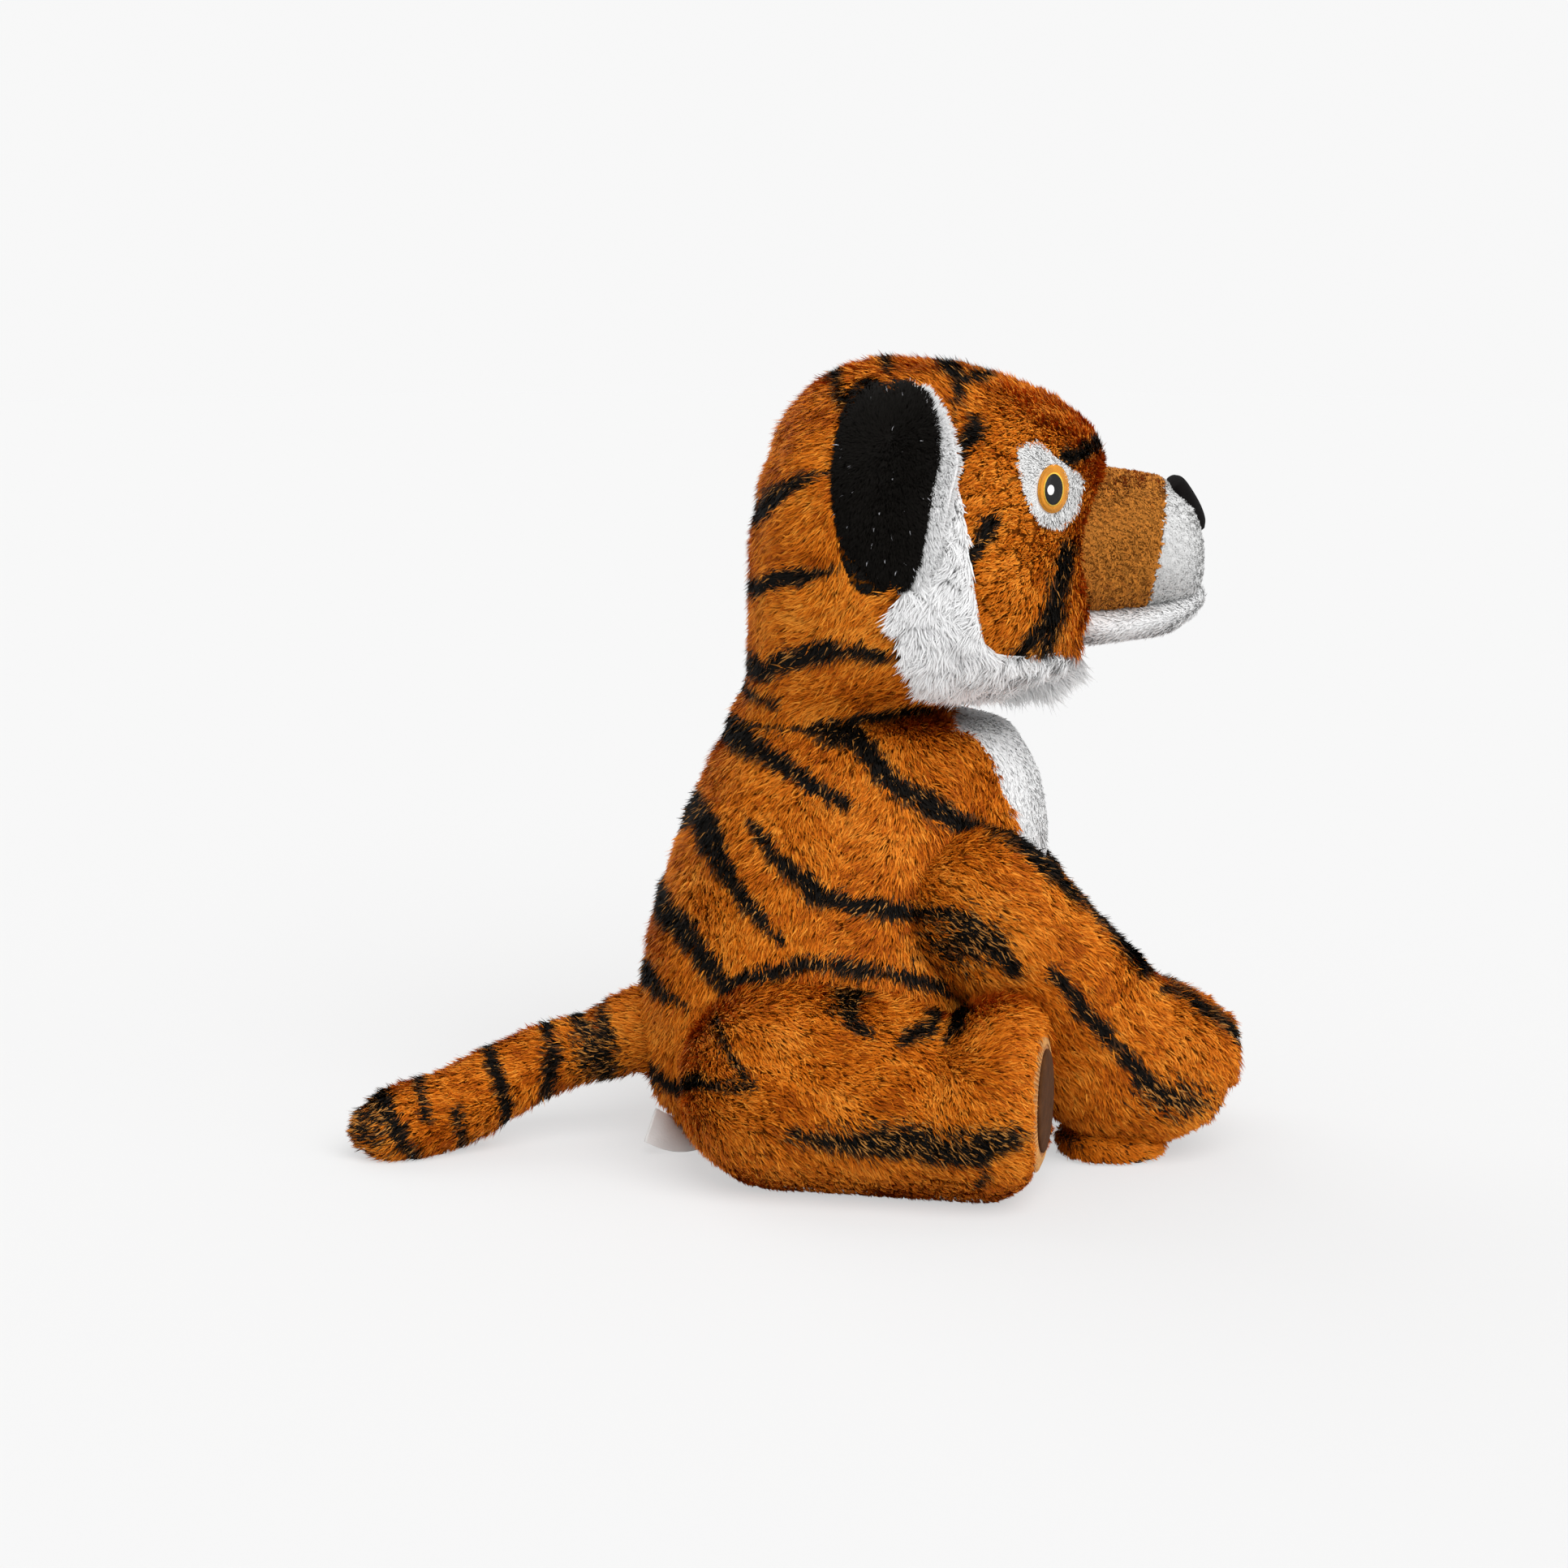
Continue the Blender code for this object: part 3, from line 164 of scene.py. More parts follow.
def roundShape(sides, power):
    # cosine and sine raised to 2/power, so that a circle squares up as power rises
    angle = 2 * np.pi * np.arange(sides) / sides
    return tuple(np.sign(wave) * np.abs(wave) ** (2 / power) for wave in (np.cos(angle), np.sin(angle)))


def oval(x, z, halfWidth, halfHeight, sides=48):
    # cosine across and sine up
    turn = 2 * np.pi * np.arange(sides) / sides
    return np.stack([x + halfWidth * np.cos(turn), z + halfHeight * np.sin(turn)], axis=1)


def flatRing(z, back, front, half, sides, power):
    # a level squared oval: its x runs from -back to front, its y from -half to half
    along, across = roundShape(sides, power)
    return np.stack(
        [(front - back) / 2 + (front + back) / 2 * along, half * across, np.full(sides, z)], axis=1
    )


def turned(points, pivot, axis, degrees):
    # points turned about a line: the part along the axis stays, the rest goes round it
    axis, angle = np.asarray(axis, float), math.radians(degrees)
    rest = np.asarray(points, float) - pivot
    along = (rest @ axis)[..., None] * axis
    return along + (rest - along) * math.cos(angle) + np.cross(axis, rest) * math.sin(angle) + pivot


def unit(vectors):
    return vectors / np.maximum(np.linalg.norm(vectors, axis=-1, keepdims=True), 1e-9)


def ramp(values, start, span):
    # 0 before the start, then evenly up to 1 over the span; a negative span looks the other way
    return np.clip((values - start) / span, 0, 1)


def waves(points, size, seed, count=7):
    # slow bumps between about -1 and 1: a mean of sines in seeded directions
    rng = np.random.default_rng(seed)
    turns = unit(rng.normal(size=(count, 3))) * rng.uniform(0.6, 1.5, (count, 1)) * 2 * np.pi / size
    phase = rng.uniform(0, 2 * np.pi, count)
    return np.sin(points @ turns.T + phase).sum(axis=1) / math.sqrt(count)


def tipOf(rings, deep):
    # a point straight ahead of the last ring
    middle = rings[-1].mean(axis=0)
    return middle + unit(middle - rings[-2].mean(axis=0)) * deep


def closeEnd(rings, tip, count=6):
    # more rings from the last one to the tip, shrinking like the slices of a quarter ball
    middle = rings[-1].mean(axis=0)
    turn = np.linspace(0, 0.47 * np.pi, count + 1)[1:, None, None]
    more = middle + (rings[-1] - middle) * np.cos(turn) + (tip - middle) * np.sin(turn)
    return np.concatenate([rings, more])


def gridNormals(rings):
    # cross product of the steps round and along the rings, turned to face outwards
    around = np.roll(rings, -1, axis=1) - np.roll(rings, 1, axis=1)
    normals = unit(np.cross(around, np.gradient(rings, axis=0)))
    outwards = ((rings - rings.mean(axis=(0, 1))) * normals).sum() >= 0
    return normals if outwards else -normals


def scatter(rings, density, seed, keep=None, facing=None, wrap=True):
    # seeded points spread evenly by area over a grid of rings, with their normals and places on the
    # grid; keep says which points stay, and facing which way the normals look on the whole
    rng = np.random.default_rng(seed)
    after = np.roll(rings, -1, axis=1)
    corners = [rings[:-1], after[:-1], after[1:], rings[1:]]
    if not wrap:
        corners = [c[:, :-1] for c in corners]
    area = 0.5 * np.linalg.norm(np.cross(corners[2] - corners[0], corners[3] - corners[1]), axis=2)
    total = np.cumsum(area.ravel())
    count = int(total[-1] * density)
    cell = np.minimum(np.searchsorted(total, rng.random(count) * total[-1]), len(total) - 1)
    row, column = np.divmod(cell, area.shape[1])
    s, t = rng.random(count)[:, None], rng.random(count)[:, None]
    nextColumn = (column + 1) % rings.shape[1]

    def blend(grid):
        low = grid[row, column] * (1 - s) + grid[row, nextColumn] * s
        high = grid[row + 1, column] * (1 - s) + grid[row + 1, nextColumn] * s
        return low * (1 - t) + high * t

    place = np.stack([(column + s[:, 0]) / area.shape[1], (row + t[:, 0]) / area.shape[0]], axis=1)
    sown = [blend(rings), unit(blend(gridNormals(rings))), place]
    if facing is not None and (sown[1] @ facing).sum() < 0:
        sown[1] = -sown[1]
    return only(keep(sown[0]), sown) if keep else sown


def only(kept, arrays):
    return [array[kept] for array in arrays]


def closedFaces(rows, sides):
    # squares round every pair of rings, and a fan to the pole at each end
    k = np.arange(sides)
    after = (k + 1) % sides
    start = 1 + np.arange(rows - 1)[:, None] * sides
    squares = np.stack([start + k, start + after, start + sides + after, start + sides + k], axis=-1)
    end = 1 + (rows - 1) * sides
    first = np.stack([0 * k, 1 + after, 1 + k], axis=1)
    final = np.stack([end + k, end + after, 0 * k + end + sides], axis=1)
    return [squares.reshape(-1, 4), np.concatenate([first, final])]


def facingOut(points, faces):
    # the signed volume says whether every face has to be turned round
    volume = 0.0
    for block in faces:
        for k in range(2, block.shape[1]):
            a, b, c = points[block[:, 0]], points[block[:, k - 1]], points[block[:, k]]
            volume += np.einsum("ij,ij->i", a, np.cross(b, c)).sum()
    return faces if volume > 0 else [block[:, ::-1] for block in faces]


# materials

coatColours = {
    "orange": (0.66, 0.165, 0.006),
    "pale": (0.84, 0.30, 0.030),
    "deep": (0.34, 0.062, 0.002),
    "black": (0.006, 0.005, 0.004),
    "brown": (0.085, 0.036, 0.012),
    "gold": (0.46, 0.20, 0.045),
    "white": (0.89, 0.89, 0.89),
    "milk": (0.76, 0.76, 0.755),
    "pearl": (0.67, 0.67, 0.665),
    "tan": (0.52, 0.190, 0.026),
    "chocolate": (0.085, 0.032, 0.010),
}
clothSetup = {
    # grain is the size and depth of fine bumps; without a colour a cloth takes the piece's own coat
    "plushPile": {"rough": 0.62, "gloss": 0.07},
    "whitePile": {"rough": 0.75, "sheen": 0.05},
    "shortPile": {"rough": 0.8, "sheen": 0.05, "gloss": 0.1},
    "knitBacking": {"rough": 0.9, "gloss": 0.1, "grain": (900, 0.0003)},
    "noseVelour": {"rough": 0.8, "gloss": 0.06, "grain": (2600, 0.0002), "colour": (0.006, 0.005, 0.005)},
    "solePile": {
        "rough": 0.9, "sheen": 0.02, "gloss": 0.08, "grain": (1800, 0.0003),
        "colour": coatColours["chocolate"],
    },
    "rimPile": {"rough": 0.85, "sheen": 0.15, "grain": (1800, 0.0003), "colour": coatColours["tan"]},
    "amberThread": {"rough": 0.5, "sheen": 0.1, "grain": (2200, 0.0002), "colour": (0.68, 0.26, 0.012)},
    "yellowThread": {"rough": 0.5, "grain": (2200, 0.0002), "colour": (0.90, 0.56, 0.07), "dark": 0.85},
    "blackThread": {"rough": 0.35, "grain": (2200, 0.0002), "colour": (0.010, 0.010, 0.010)},
    "whiteThread": {"rough": 0.4, "grain": (2200, 0.0002), "colour": (0.88, 0.88, 0.88), "dark": 0.92},
    "tanThread": {"rough": 0.5, "sheen": 0.1, "grain": (2600, 0.0002), "colour": (0.62, 0.30, 0.085)},
    "labelSatin": {
        "rough": 0.5, "sheen": 0.1, "grain": (1500, 0.0001), "colour": (0.93, 0.93, 0.92), "dark": 0.96,
        "light": 1.02,
    },
    "wadding": {"rough": 0.95, "grain": (700, 0.0005), "colour": (0.78, 0.77, 0.74), "dark": 0.85},
}


def clothMaterial(name, rough, colour=None, sheen=0.0, grain=None, dark=0.72, light=1.15, gloss=0.25):
    # one shader: its colour from the coat attribute or a slow noise, its grain from noise bumps
    material = bpy.data.materials.new(name)
    material.use_nodes = True
    nodes, links = material.node_tree.nodes, material.node_tree.links
    shader = nodes["Principled BSDF"]
    for socket, value in (
        ("Roughness", rough), ("Specular IOR Level", gloss), ("Sheen Weight", sheen),
        ("Sheen Roughness", 0.5),
    ):
        shader.inputs[socket].default_value = value

    def noiseOf(scale, detail):
        noise = nodes.new("ShaderNodeTexNoise")
        noise.inputs["Scale"].default_value = scale
        noise.inputs["Detail"].default_value = detail
        links.new(nodes.new("ShaderNodeTexCoord").outputs["Object"], noise.inputs["Vector"])
        return noise.outputs["Fac"]

    if colour:
        ramp = nodes.new("ShaderNodeValToRGB")
        for point, place, share in zip(ramp.color_ramp.elements, (0.3, 0.7), (dark, light)):
            point.position = place
            point.color = (*[min(c * share, 0.95) for c in colour], 1)
        links.new(noiseOf(260, 6), ramp.inputs["Fac"])
        links.new(ramp.outputs["Color"], shader.inputs["Base Color"])
    else:
        coat = nodes.new("ShaderNodeVertexColor")
        coat.layer_name = "coat"
        links.new(coat.outputs["Color"], shader.inputs["Base Color"])
    if grain:
        bump = nodes.new("ShaderNodeBump")
        bump.inputs["Strength"].default_value = 0.8
        bump.inputs["Distance"].default_value = grain[1]
        links.new(noiseOf(grain[0], 3), bump.inputs["Height"])
        links.new(bump.outputs["Normal"], shader.inputs["Normal"])
    return material


cloths = {name: clothMaterial(name, **values) for name, values in clothSetup.items()}
print("materials made")

# pieces

pieceTable = {
    # how a name starts: the model's finish and the body, which takes right or left where it ends in _
    "body": ("orange_plush", "torso"), "chest": ("white_plush", "torso"), "neck": ("wadding", "neck"),
    "head": ("orange_plush", "head"), "muzzleFront": ("white_plush", "head"), "muzzle": ("tan_pile", "head"),
    "jaw": ("white_plush", "head"), "nose": ("black_plush", "head"), "eyePatch": ("white_plush", "head"),
    "iris": ("amber_thread", "head"), "pupilRim": ("amber_thread", "head"), "pupil": ("black_thread", "head"),
    "glint": ("white_thread", "head"), "ruff": ("white_plush", "head"), "earBack": ("black_plush", "ear_"),
    "ear": ("white_plush", "ear_"), "foreleg": ("orange_plush", "foreleg_"),
    "pawSole": ("brown_pile", "foreleg_"), "hind": ("orange_plush", "hind_leg_"),
    "solePatch": ("brown_pile", "hind_leg_"), "sole": ("tan_pile", "hind_leg_"),
    "tail": ("orange_plush", "tail"), "careLabel": ("label_satin", "torso"),
}


def makePiece(name, points, faces, cloth, tint=None, bake=None, normals=None, stands=()):
    # puts arrays of points and faces into a mesh, in metres in the shared frame, on its body, in the
    # place of the solids it stands for
    sizes = np.concatenate([np.full(len(block), block.shape[1]) for block in faces])
    corners = np.concatenate([block.ravel() for block in faces]).astype(np.int32)
    mesh = bpy.data.meshes.new(name)
    mesh.vertices.add(len(points))
    mesh.loops.add(len(corners))
    mesh.loops.foreach_set("vertex_index", corners)
    mesh.polygons.add(len(sizes))
    mesh.polygons.foreach_set("loop_start", np.concatenate([[0], np.cumsum(sizes)[:-1]]).astype(np.int32))

    def fillIn(layer, key, values):
        layer.foreach_set(key, values.astype(np.float32).ravel())

    fillIn(mesh.vertices, "co", (points + [seatAhead, 0, 0]) * mm)
    mesh.update(calc_edges=True)
    mesh.shade_smooth()
    if tint is not None:
        layer = mesh.color_attributes.new("coat", "FLOAT_COLOR", "POINT")
        fillIn(layer.data, "color", np.concatenate([tint, np.ones((len(tint), 1))], axis=1))
    if bake is not None:
        fillIn(mesh.uv_layers.new(name="OFBake").data, "uv", bake[corners])
    if normals is not None:
        fillIn(mesh.attributes.new("custom_normal", "FLOAT_VECTOR", "POINT").data, "vector", normals)
    piece = addObject(name, mesh)
    mesh.materials.append(cloths[cloth])

    def sided(word):
        return word + ("right" if name.endswith("Right") else "left") if word.endswith("_") else word

    slot, body = next(row for start, row in pieceTable.items() if name.startswith(start))
    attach(piece, sided(body))
    if stands:
        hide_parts(*[sided(word) for word in stands])


def makeSkin(name, rings, stands=(), poles=None, cloth="knitBacking", coat=None):
    # a closed skin over the rings, with a fan of faces to a pole at each end
    poles = (rings[0].mean(axis=0), rings[-1].mean(axis=0)) if poles is None else poles
    points = np.concatenate([[poles[0]], rings.reshape(-1, 3), [poles[1]]])
    faces = facingOut(points, closedFaces(*rings.shape[:2]))
    tint = skinTint(points, *coat) if coat else None
    makePiece(name, points, faces, cloth, tint, stands=stands)


def makeThreads(name, paths, radius, cloth):
    # round tubes of six sides along many short paths at once, each closed by a point at both ends
    count, steps = paths.shape[:2]
    wide = unit(np.cross(unit(np.gradient(paths, axis=1)), [0.31, 0.22, 0.92]))
    high = np.cross(unit(np.gradient(paths, axis=1)), wide)
    turn = 2 * np.pi * np.arange(6) / 6
    size = radius * np.where(np.isin(np.arange(steps), [0, steps - 1]), 0.6, 1.0)[None, :, None, None]
    rings = paths[:, :, None] + size * (
        wide[:, :, None] * np.cos(turn)[:, None] + high[:, :, None] * np.sin(turn)[:, None]
    )
    points = np.concatenate([paths[:, :1], rings.reshape(count, -1, 3), paths[:, -1:]], axis=1)
    offset = (np.arange(count) * points.shape[1])[:, None, None]
    faces = [(block[None] + offset).reshape(-1, block.shape[1]) for block in closedFaces(steps, 6)]
    points = points.reshape(-1, 3)
    makePiece(name, points, facingOut(points, faces), cloth)


# fur

furSetup = {
    # hairs per square millimetre, then each hair's width, lean and bend in degrees, the size of a
    # tuft and how far it draws its hairs in, how deep a hair is set, how dark its root is painted as
    # painted shade deep in the pile, how far it strays sideways, and how much of its own flat shows in
    # the shading
    "density": 4.6, "width": 0.50, "lean": 46.0, "bend": 26.0, "tuft": 3.6, "tuftPull": 0.46, "sink": 0.6,
    "rootShade": 0.50, "swirl": 0.45, "grain": 0.40,
}


def clumpPull(points, size, seed):
    # from each point towards the nearest of a jittered set of tuft centres
    base = np.floor(points / size)
    best = np.full(len(points), 1e9)
    pull = np.zeros_like(points)
    for step in np.ndindex(3, 3, 3):
        cell = base + np.array(step) - 1
        mixed = [np.sin(cell @ [12.9898, 78.233, 37.719] + seed + k * 11.3) * 43758.5453 for k in range(3)]
        away = (cell + np.stack(mixed, axis=1) % 1.0) * size - points
        far = (away**2).sum(axis=1)
        closer = far < best
        best[closer] = far[closer]
        pull[closer] = away[closer]
    return pull


def growFur(name, sown, flow, length, tint, seed, cloth="plushPile", **change):
    # each hair is a bent kite: a point at the root, two corners half way and a point at the tip,
    # leaning along the flow, further over past its middle, and drawn towards its tuft
    setup = {**furSetup, **change}
    roots, normals, place = sown
    rng = np.random.default_rng(seed)
    count = len(roots)

    def alongSkin(vectors):
        return vectors - (vectors * normals).sum(axis=1, keepdims=True) * normals

    def between(first, second, angle):
        return first * np.cos(angle)[:, None] + second * np.sin(angle)[:, None]

    flow = unit(alongSkin(np.asarray(flow, float)))
    swirl = waves(roots, 34.0, seed + 1) * setup["swirl"] + rng.normal(0, 0.26, count)
    flow = between(flow, np.cross(normals, flow), swirl)
    lean = np.radians(setup["lean"] + 9 * waves(roots, 16.0, seed + 2) + rng.normal(0, 9, count))
    lean = np.clip(lean, 0.12, 1.45)
    bend = np.clip(lean + np.radians(setup["bend"] + rng.normal(0, 8, count)), 0.2, 1.62)
    half = (length * rng.uniform(0.66, 1.14, count) * 0.5)[:, None]
    first, second = between(normals, flow, lean), between(normals, flow, bend)
    pull = alongSkin(clumpPull(roots, setup["tuft"], seed)) * setup["tuftPull"]
    low = roots - normals * setup["sink"]
    mid = roots + first * half + pull * 0.45
    tip = mid + second * half + pull * 0.55
    flat = unit(np.cross(first, normals))
    wide = between(flat, unit(np.cross(flat, first)), rng.normal(0, 0.42, count))
    wide = wide * (setup["width"] * 0.5 * rng.uniform(0.7, 1.3, count))[:, None]
    points = np.stack([low, mid - wide, mid + wide, tip], axis=1)
    points[:, :, 2] = np.maximum(points[:, :, 2], 0.25)
    facing = unit(np.cross(points[:, 1] - points[:, 0], points[:, 2] - points[:, 0]))
    turnRound = (facing * normals).sum(axis=1) < 0
    points[turnRound] = points[turnRound][:, [0, 2, 1, 3]]
    facing[turnRound] *= -1
    shade = np.repeat(unit(facing * setup["grain"] + normals * 0.75)[:, None], 4, axis=1)
    start = 4 * np.arange(count)[:, None]
    faces = np.concatenate([start + [0, 1, 2], start + [1, 3, 2]])
    # painted shade at each hair's root, deep in the pile, and painted light at its tip
    light = np.array([setup["rootShade"], 0.92, 0.92, 1.12])
    tints = np.clip(tint[:, None, :] * light[None, :, None], 0, 0.94)
    spot = np.array([[0.5, 0], [0, 0.5], [1, 0.5], [0.5, 1]]) * 0.0012
    bake = np.clip(place[:, None] * 0.99 + spot, 0, 1)
    makePiece(
        name, points.reshape(-1, 3), [faces], cloth, tints.reshape(-1, 3), bake.reshape(-1, 2),
        shade.reshape(-1, 3),
    )


def growParts(name, parts, sown, flow, length, tint, seed):
    # one pile as several pieces: each part's word, and which hairs belong to it
    for word, own in parts:
        partFlow = flow[own] if np.ndim(flow) > 1 else flow
        growFur(name + word, only(own, sown), partFlow, length[own], tint[own], seed)


def byHand(roots):
    return ("Right", roots[:, 1] < 0), ("Left", roots[:, 1] >= 0)


# the coat's pattern, with some lines of painted shade, laid out on a drawing of the side as seen from a
# little above

drawingSetup = {"eye": (-24.2, -1079.8, 324.7), "above": 11.0, "distance": 1100.0, "origin": (24.16, 110.51)}
# each line is points along it: place, height and half width, in millimetres on the drawing
armLine = [(18, 71, 2.1), (30, 69, 3.1), (40, 62, 3.6), (46.5, 53.5, 2.1)]
# painted shade: a dark line along the seam under the head, where shade falls between head and body
neckShadeLine = [(-41, 130.5, 0.5), (-15.5, 130, 1.4), (23, 137, 1.4)]
rumpLines = [
    [(-71, 33, 2.3), (-67, 24.5, 2.6), (-59, 18, 2.3), (-36, 14.5, 0.8)],
    [(-45, 34.5, 1), (-36, 14.5, 1.5)],
]
coatLines = {
    "body": [
        [(-40, 130, 4.1), (-25.5, 120, 3.3), (-13, 111.5, 2.8), (-1.5, 105.5, 0.8)],
        [(-15.5, 130.5, 2.6), (0, 125, 3.1), (10.5, 112, 3.1), (23, 103.5, 3.2), (32.5, 100, 3),
         (47.5, 93.5, 2.4)],
        [(-54, 110, 4.1), (-46.5, 99, 3.9), (-41, 84, 3.3), (-33.5, 73.5, 2.6), (-24.5, 63, 0.8)],
        [(-59, 97, 2.6), (-49, 100.5, 1)],
        [(-33.5, 100.5, 0.8), (-25.5, 89, 2.6), (-15.5, 78.5, 3.1), (0, 73.5, 3.1), (23, 72, 2.6)],
        [(-63.5, 80.5, 3.6), (-56.5, 68.5, 3.3), (-49, 59.5, 2.8), (-40, 47.5, 2.3), (-28.5, 50.5, 0.8)],
        [(-67.5, 56, 3.1), (-61.5, 47.5, 2.6), (-54, 42.5, 0.8)],
        # partly a stripe, partly painted shade along the crease above the thigh
        [(-40, 49.5, 1.8), (-24.5, 53.5, 2.1), (-11.5, 56.5, 2.1), (2, 54, 2.1), (16, 51.5, 2.1),
         (29, 47, 1.6)],
        armLine, neckShadeLine, *rumpLines,
    ],
    "foreleg": [
        [(0, 125, 3.1), (10.5, 112, 3.1), (23, 103.5, 3.2), (32.5, 100, 2.8), (44.5, 94.5, 2.2),
         (52, 88, 2.3), (62, 80.5, 2.6), (70, 74, 2.8), (78, 65.5, 2.7), (88.5, 52, 1.8)],
        [(58.5, 53, 1.4), (66, 44.5, 2.4), (73.5, 36, 2.4), (81, 28, 2.2), (86, 21.5, 2.6), (91, 15.5, 2.8),
         (98, 13, 2.4), (105, 11.5, 1.4)],
        [(93.5, 46.5, 0.6), (102.5, 41.5, 1.1), (113.5, 34.5, 1.6), (119, 30, 1)],
        armLine,
    ],
    "hind": [
        # partly a stripe, partly painted shade along the crease where the thigh meets the torso
        [(-40, 47.5, 2.3), (-33.5, 46.5, 2.1), (-19.5, 51.5, 2.3), (-5, 50.5, 2.1), (15.5, 49, 2.1),
         (36, 42.5, 0.8)],
        [(3, 47, 2), (-4, 42, 2.4), (-5, 35, 2.2), (1, 31.5, 1.2)],
        [(22.5, 38.5, 2.2), (19.5, 33, 2.4), (12, 29, 1.4)],
        [(33, 42, 2.8), (30.5, 34.5, 3.2), (26, 28.5, 1.6)],
        [(-23, 1.5, 1.6), (10.5, -2.5, 3.6), (34.5, -4.5, 3.9), (47, -1, 2.6)],
        [(38, -12, 1.8), (36, -16, 1)],
        *rumpLines,
    ],
    "tail": [
        [(-88, 37.5, 2.3), (-76, 16.5, 2.1)],
        [(-78.5, 38, 1.5), (-76.5, 22, 0.8)],
        [(-97.5, 35, 2.1), (-95, 24.5, 2.3), (-100.5, 10, 1.5)],
        [(-116, 30, 2.1), (-112.5, 17, 2.3), (-111, 6, 1.5)],
        [(-137, 19, 1.8), (-136, 5, 1.3)],
        [(-126, 6, 1.8), (-124.5, -1.5, 1)],
        [(-152, 16, 3.1), (-146.5, 4, 2.6), (-138.5, -8, 2.1)],
    ],
    "head": [
        [(-5.5, 242.5, 2.1), (-4, 230, 0.8)],
        [(10.5, 243.5, 1.5), (11.5, 238, 0.5)],
        [(25, 245.5, 2.3), (33.5, 235.5, 2.3), (43.5, 238, 0.8)],
        [(33.5, 235.5, 2.1), (32, 224.5, 0.5)],
        [(-7.5, 210, 0.8), (-23, 204.5, 2.6), (-33, 195, 2.6)],
        [(-7.5, 181.5, 0.8), (-18, 176.5, 2.6), (-32, 174.5, 2.6)],
        [(-38, 153.5, 2.9), (-28.5, 148, 3.3), (-7.5, 155.5, 2.9), (13.5, 153, 0.8)],
        [(-38, 145, 2.3), (-24.5, 137, 0.8)],
        [(42.5, 194.5, 2.9), (34.5, 176, 1.6)],
        [(65.5, 186.5, 2.1), (59, 163.5, 2.9), (49, 150, 1.5)],
        [(62, 168.5, 1.9), (58, 150, 1.5)],
        [(38.5, 222.5, 2.9), (32, 212, 1.6)],
        [(65, 213, 2.1), (77.5, 218.5, 1.6)],
        neckShadeLine,
    ],
}
# flecked patches: place, height, half width and half height on the drawing
coatFlecks = {
    "body": [(31, 62, 13, 9.5)], "foreleg": [(31, 62, 13, 9.5), (98, 13, 12, 6.5)],
    "hind": [(-6, 42, 5, 6), (14, 0, 35, 5.2)], "tail": [(-154, 3, 7, 9), (-82, 26, 8, 9)], "head": [],
}


def onDrawing(points):
    # the height and length on the drawing, with both sides of the body folded onto one
    above = math.radians(drawingSetup["above"])
    folded = np.stack([points[:, 0], -np.abs(points[:, 1]), points[:, 2]], axis=1)
    rest = folded - np.array(drawingSetup["eye"])
    high = rest @ [0, math.sin(above), math.cos(above)]
    scale = drawingSetup["distance"] / (rest @ [0, math.cos(above), -math.sin(above)])
    ahead, up = drawingSetup["origin"]
    return np.stack([rest[:, 0] * scale - ahead, high * scale + up], axis=1)


def lineDistance(spots, lines):
    # the least distance to any stretch of any line, less the half width there
    best = np.full(len(spots), 1e9)
    for line in lines:
        for start, end in zip(line[:-1], line[1:]):
            a, step = np.array(start[:2]), np.array(end[:2]) - np.array(start[:2])
            t = np.clip(((spots - a) @ step) / (step @ step), 0, 1)
            far = np.linalg.norm(spots - a - t[:, None] * step, axis=1)
            best = np.minimum(best, far - (start[2] + (end[2] - start[2]) * t))
    return best


def coatTint(points, part, seed, vary=1.0):
    # orange with slow and fine changes of depth, brown and then black where a line's ragged
    # distance falls below zero, and black among gold hairs in the flecked patches
    rng = np.random.default_rng(seed)
    orange, pale, deep, black, brown, gold = (
        np.array(coatColours[name]) for name in ("orange", "pale", "deep", "black", "brown", "gold")
    )
    slow = 0.5 + 0.18 * waves(points, 26.0, 5) + 0.13 * waves(points, 7.0, 6) + 0.11 * waves(points, 2.6, 7)
    mix = np.clip(slow + rng.normal(0, 0.25, len(points)) * vary, 0, 1)[:, None]
    base = np.where(mix < 0.5, deep + (orange - deep) * mix * 2, orange + (pale - orange) * (mix - 0.5) * 2)
    spots = onDrawing(points)
    ragged = lineDistance(spots, coatLines[part])
    ragged = ragged - 0.05 + 0.5 * waves(points, 7.0, 8) + 0.3 * waves(points, 2.4, 9)
    ragged = ragged + rng.normal(0, 0.5, len(points)) * vary
    flecked = np.zeros(len(points), bool)
    for x, z, wide, tall in coatFlecks[part]:
        away = np.hypot((spots[:, 0] - x) / wide, (spots[:, 1] - z) / tall) - 1
        patch = 3.0 * away + 0.9 * waves(points, 3.0, 10) + rng.normal(0.9, 0.9, len(points)) * vary
        ragged = np.minimum(ragged, patch)
        flecked |= away < 0.1
    dark = np.clip(0.5 - ragged / 1.5, 0, 1)[:, None]
    base = base + (brown - base) * np.clip(dark * 2, 0, 1)
    base = base + (black - base) * np.clip(dark * 2 - 1, 0, 1)
    stray = (rng.random(len(points)) < np.where(flecked, 0.22, 0.05))[:, None] & (dark > 0.5)
    return np.where(stray, gold, base)


def evenTint(points, colour, spread, seed):
    # one colour, lighter and darker from hair to hair
    change = np.random.default_rng(seed).normal(0, spread, (len(points), 1))
    return np.array(coatColours[colour]) * np.clip(1 + change, 0.5, 1.3)


def skinTint(points, coat, seed, shade=0.5):
    # the coat's pattern or one even colour, with painted shade: darker where deep pile stands over it
    even = coat not in coatLines
    return (evenTint(points, coat, 0.02, seed) if even else coatTint(points, coat, seed, 0.3)) * shade


# torso

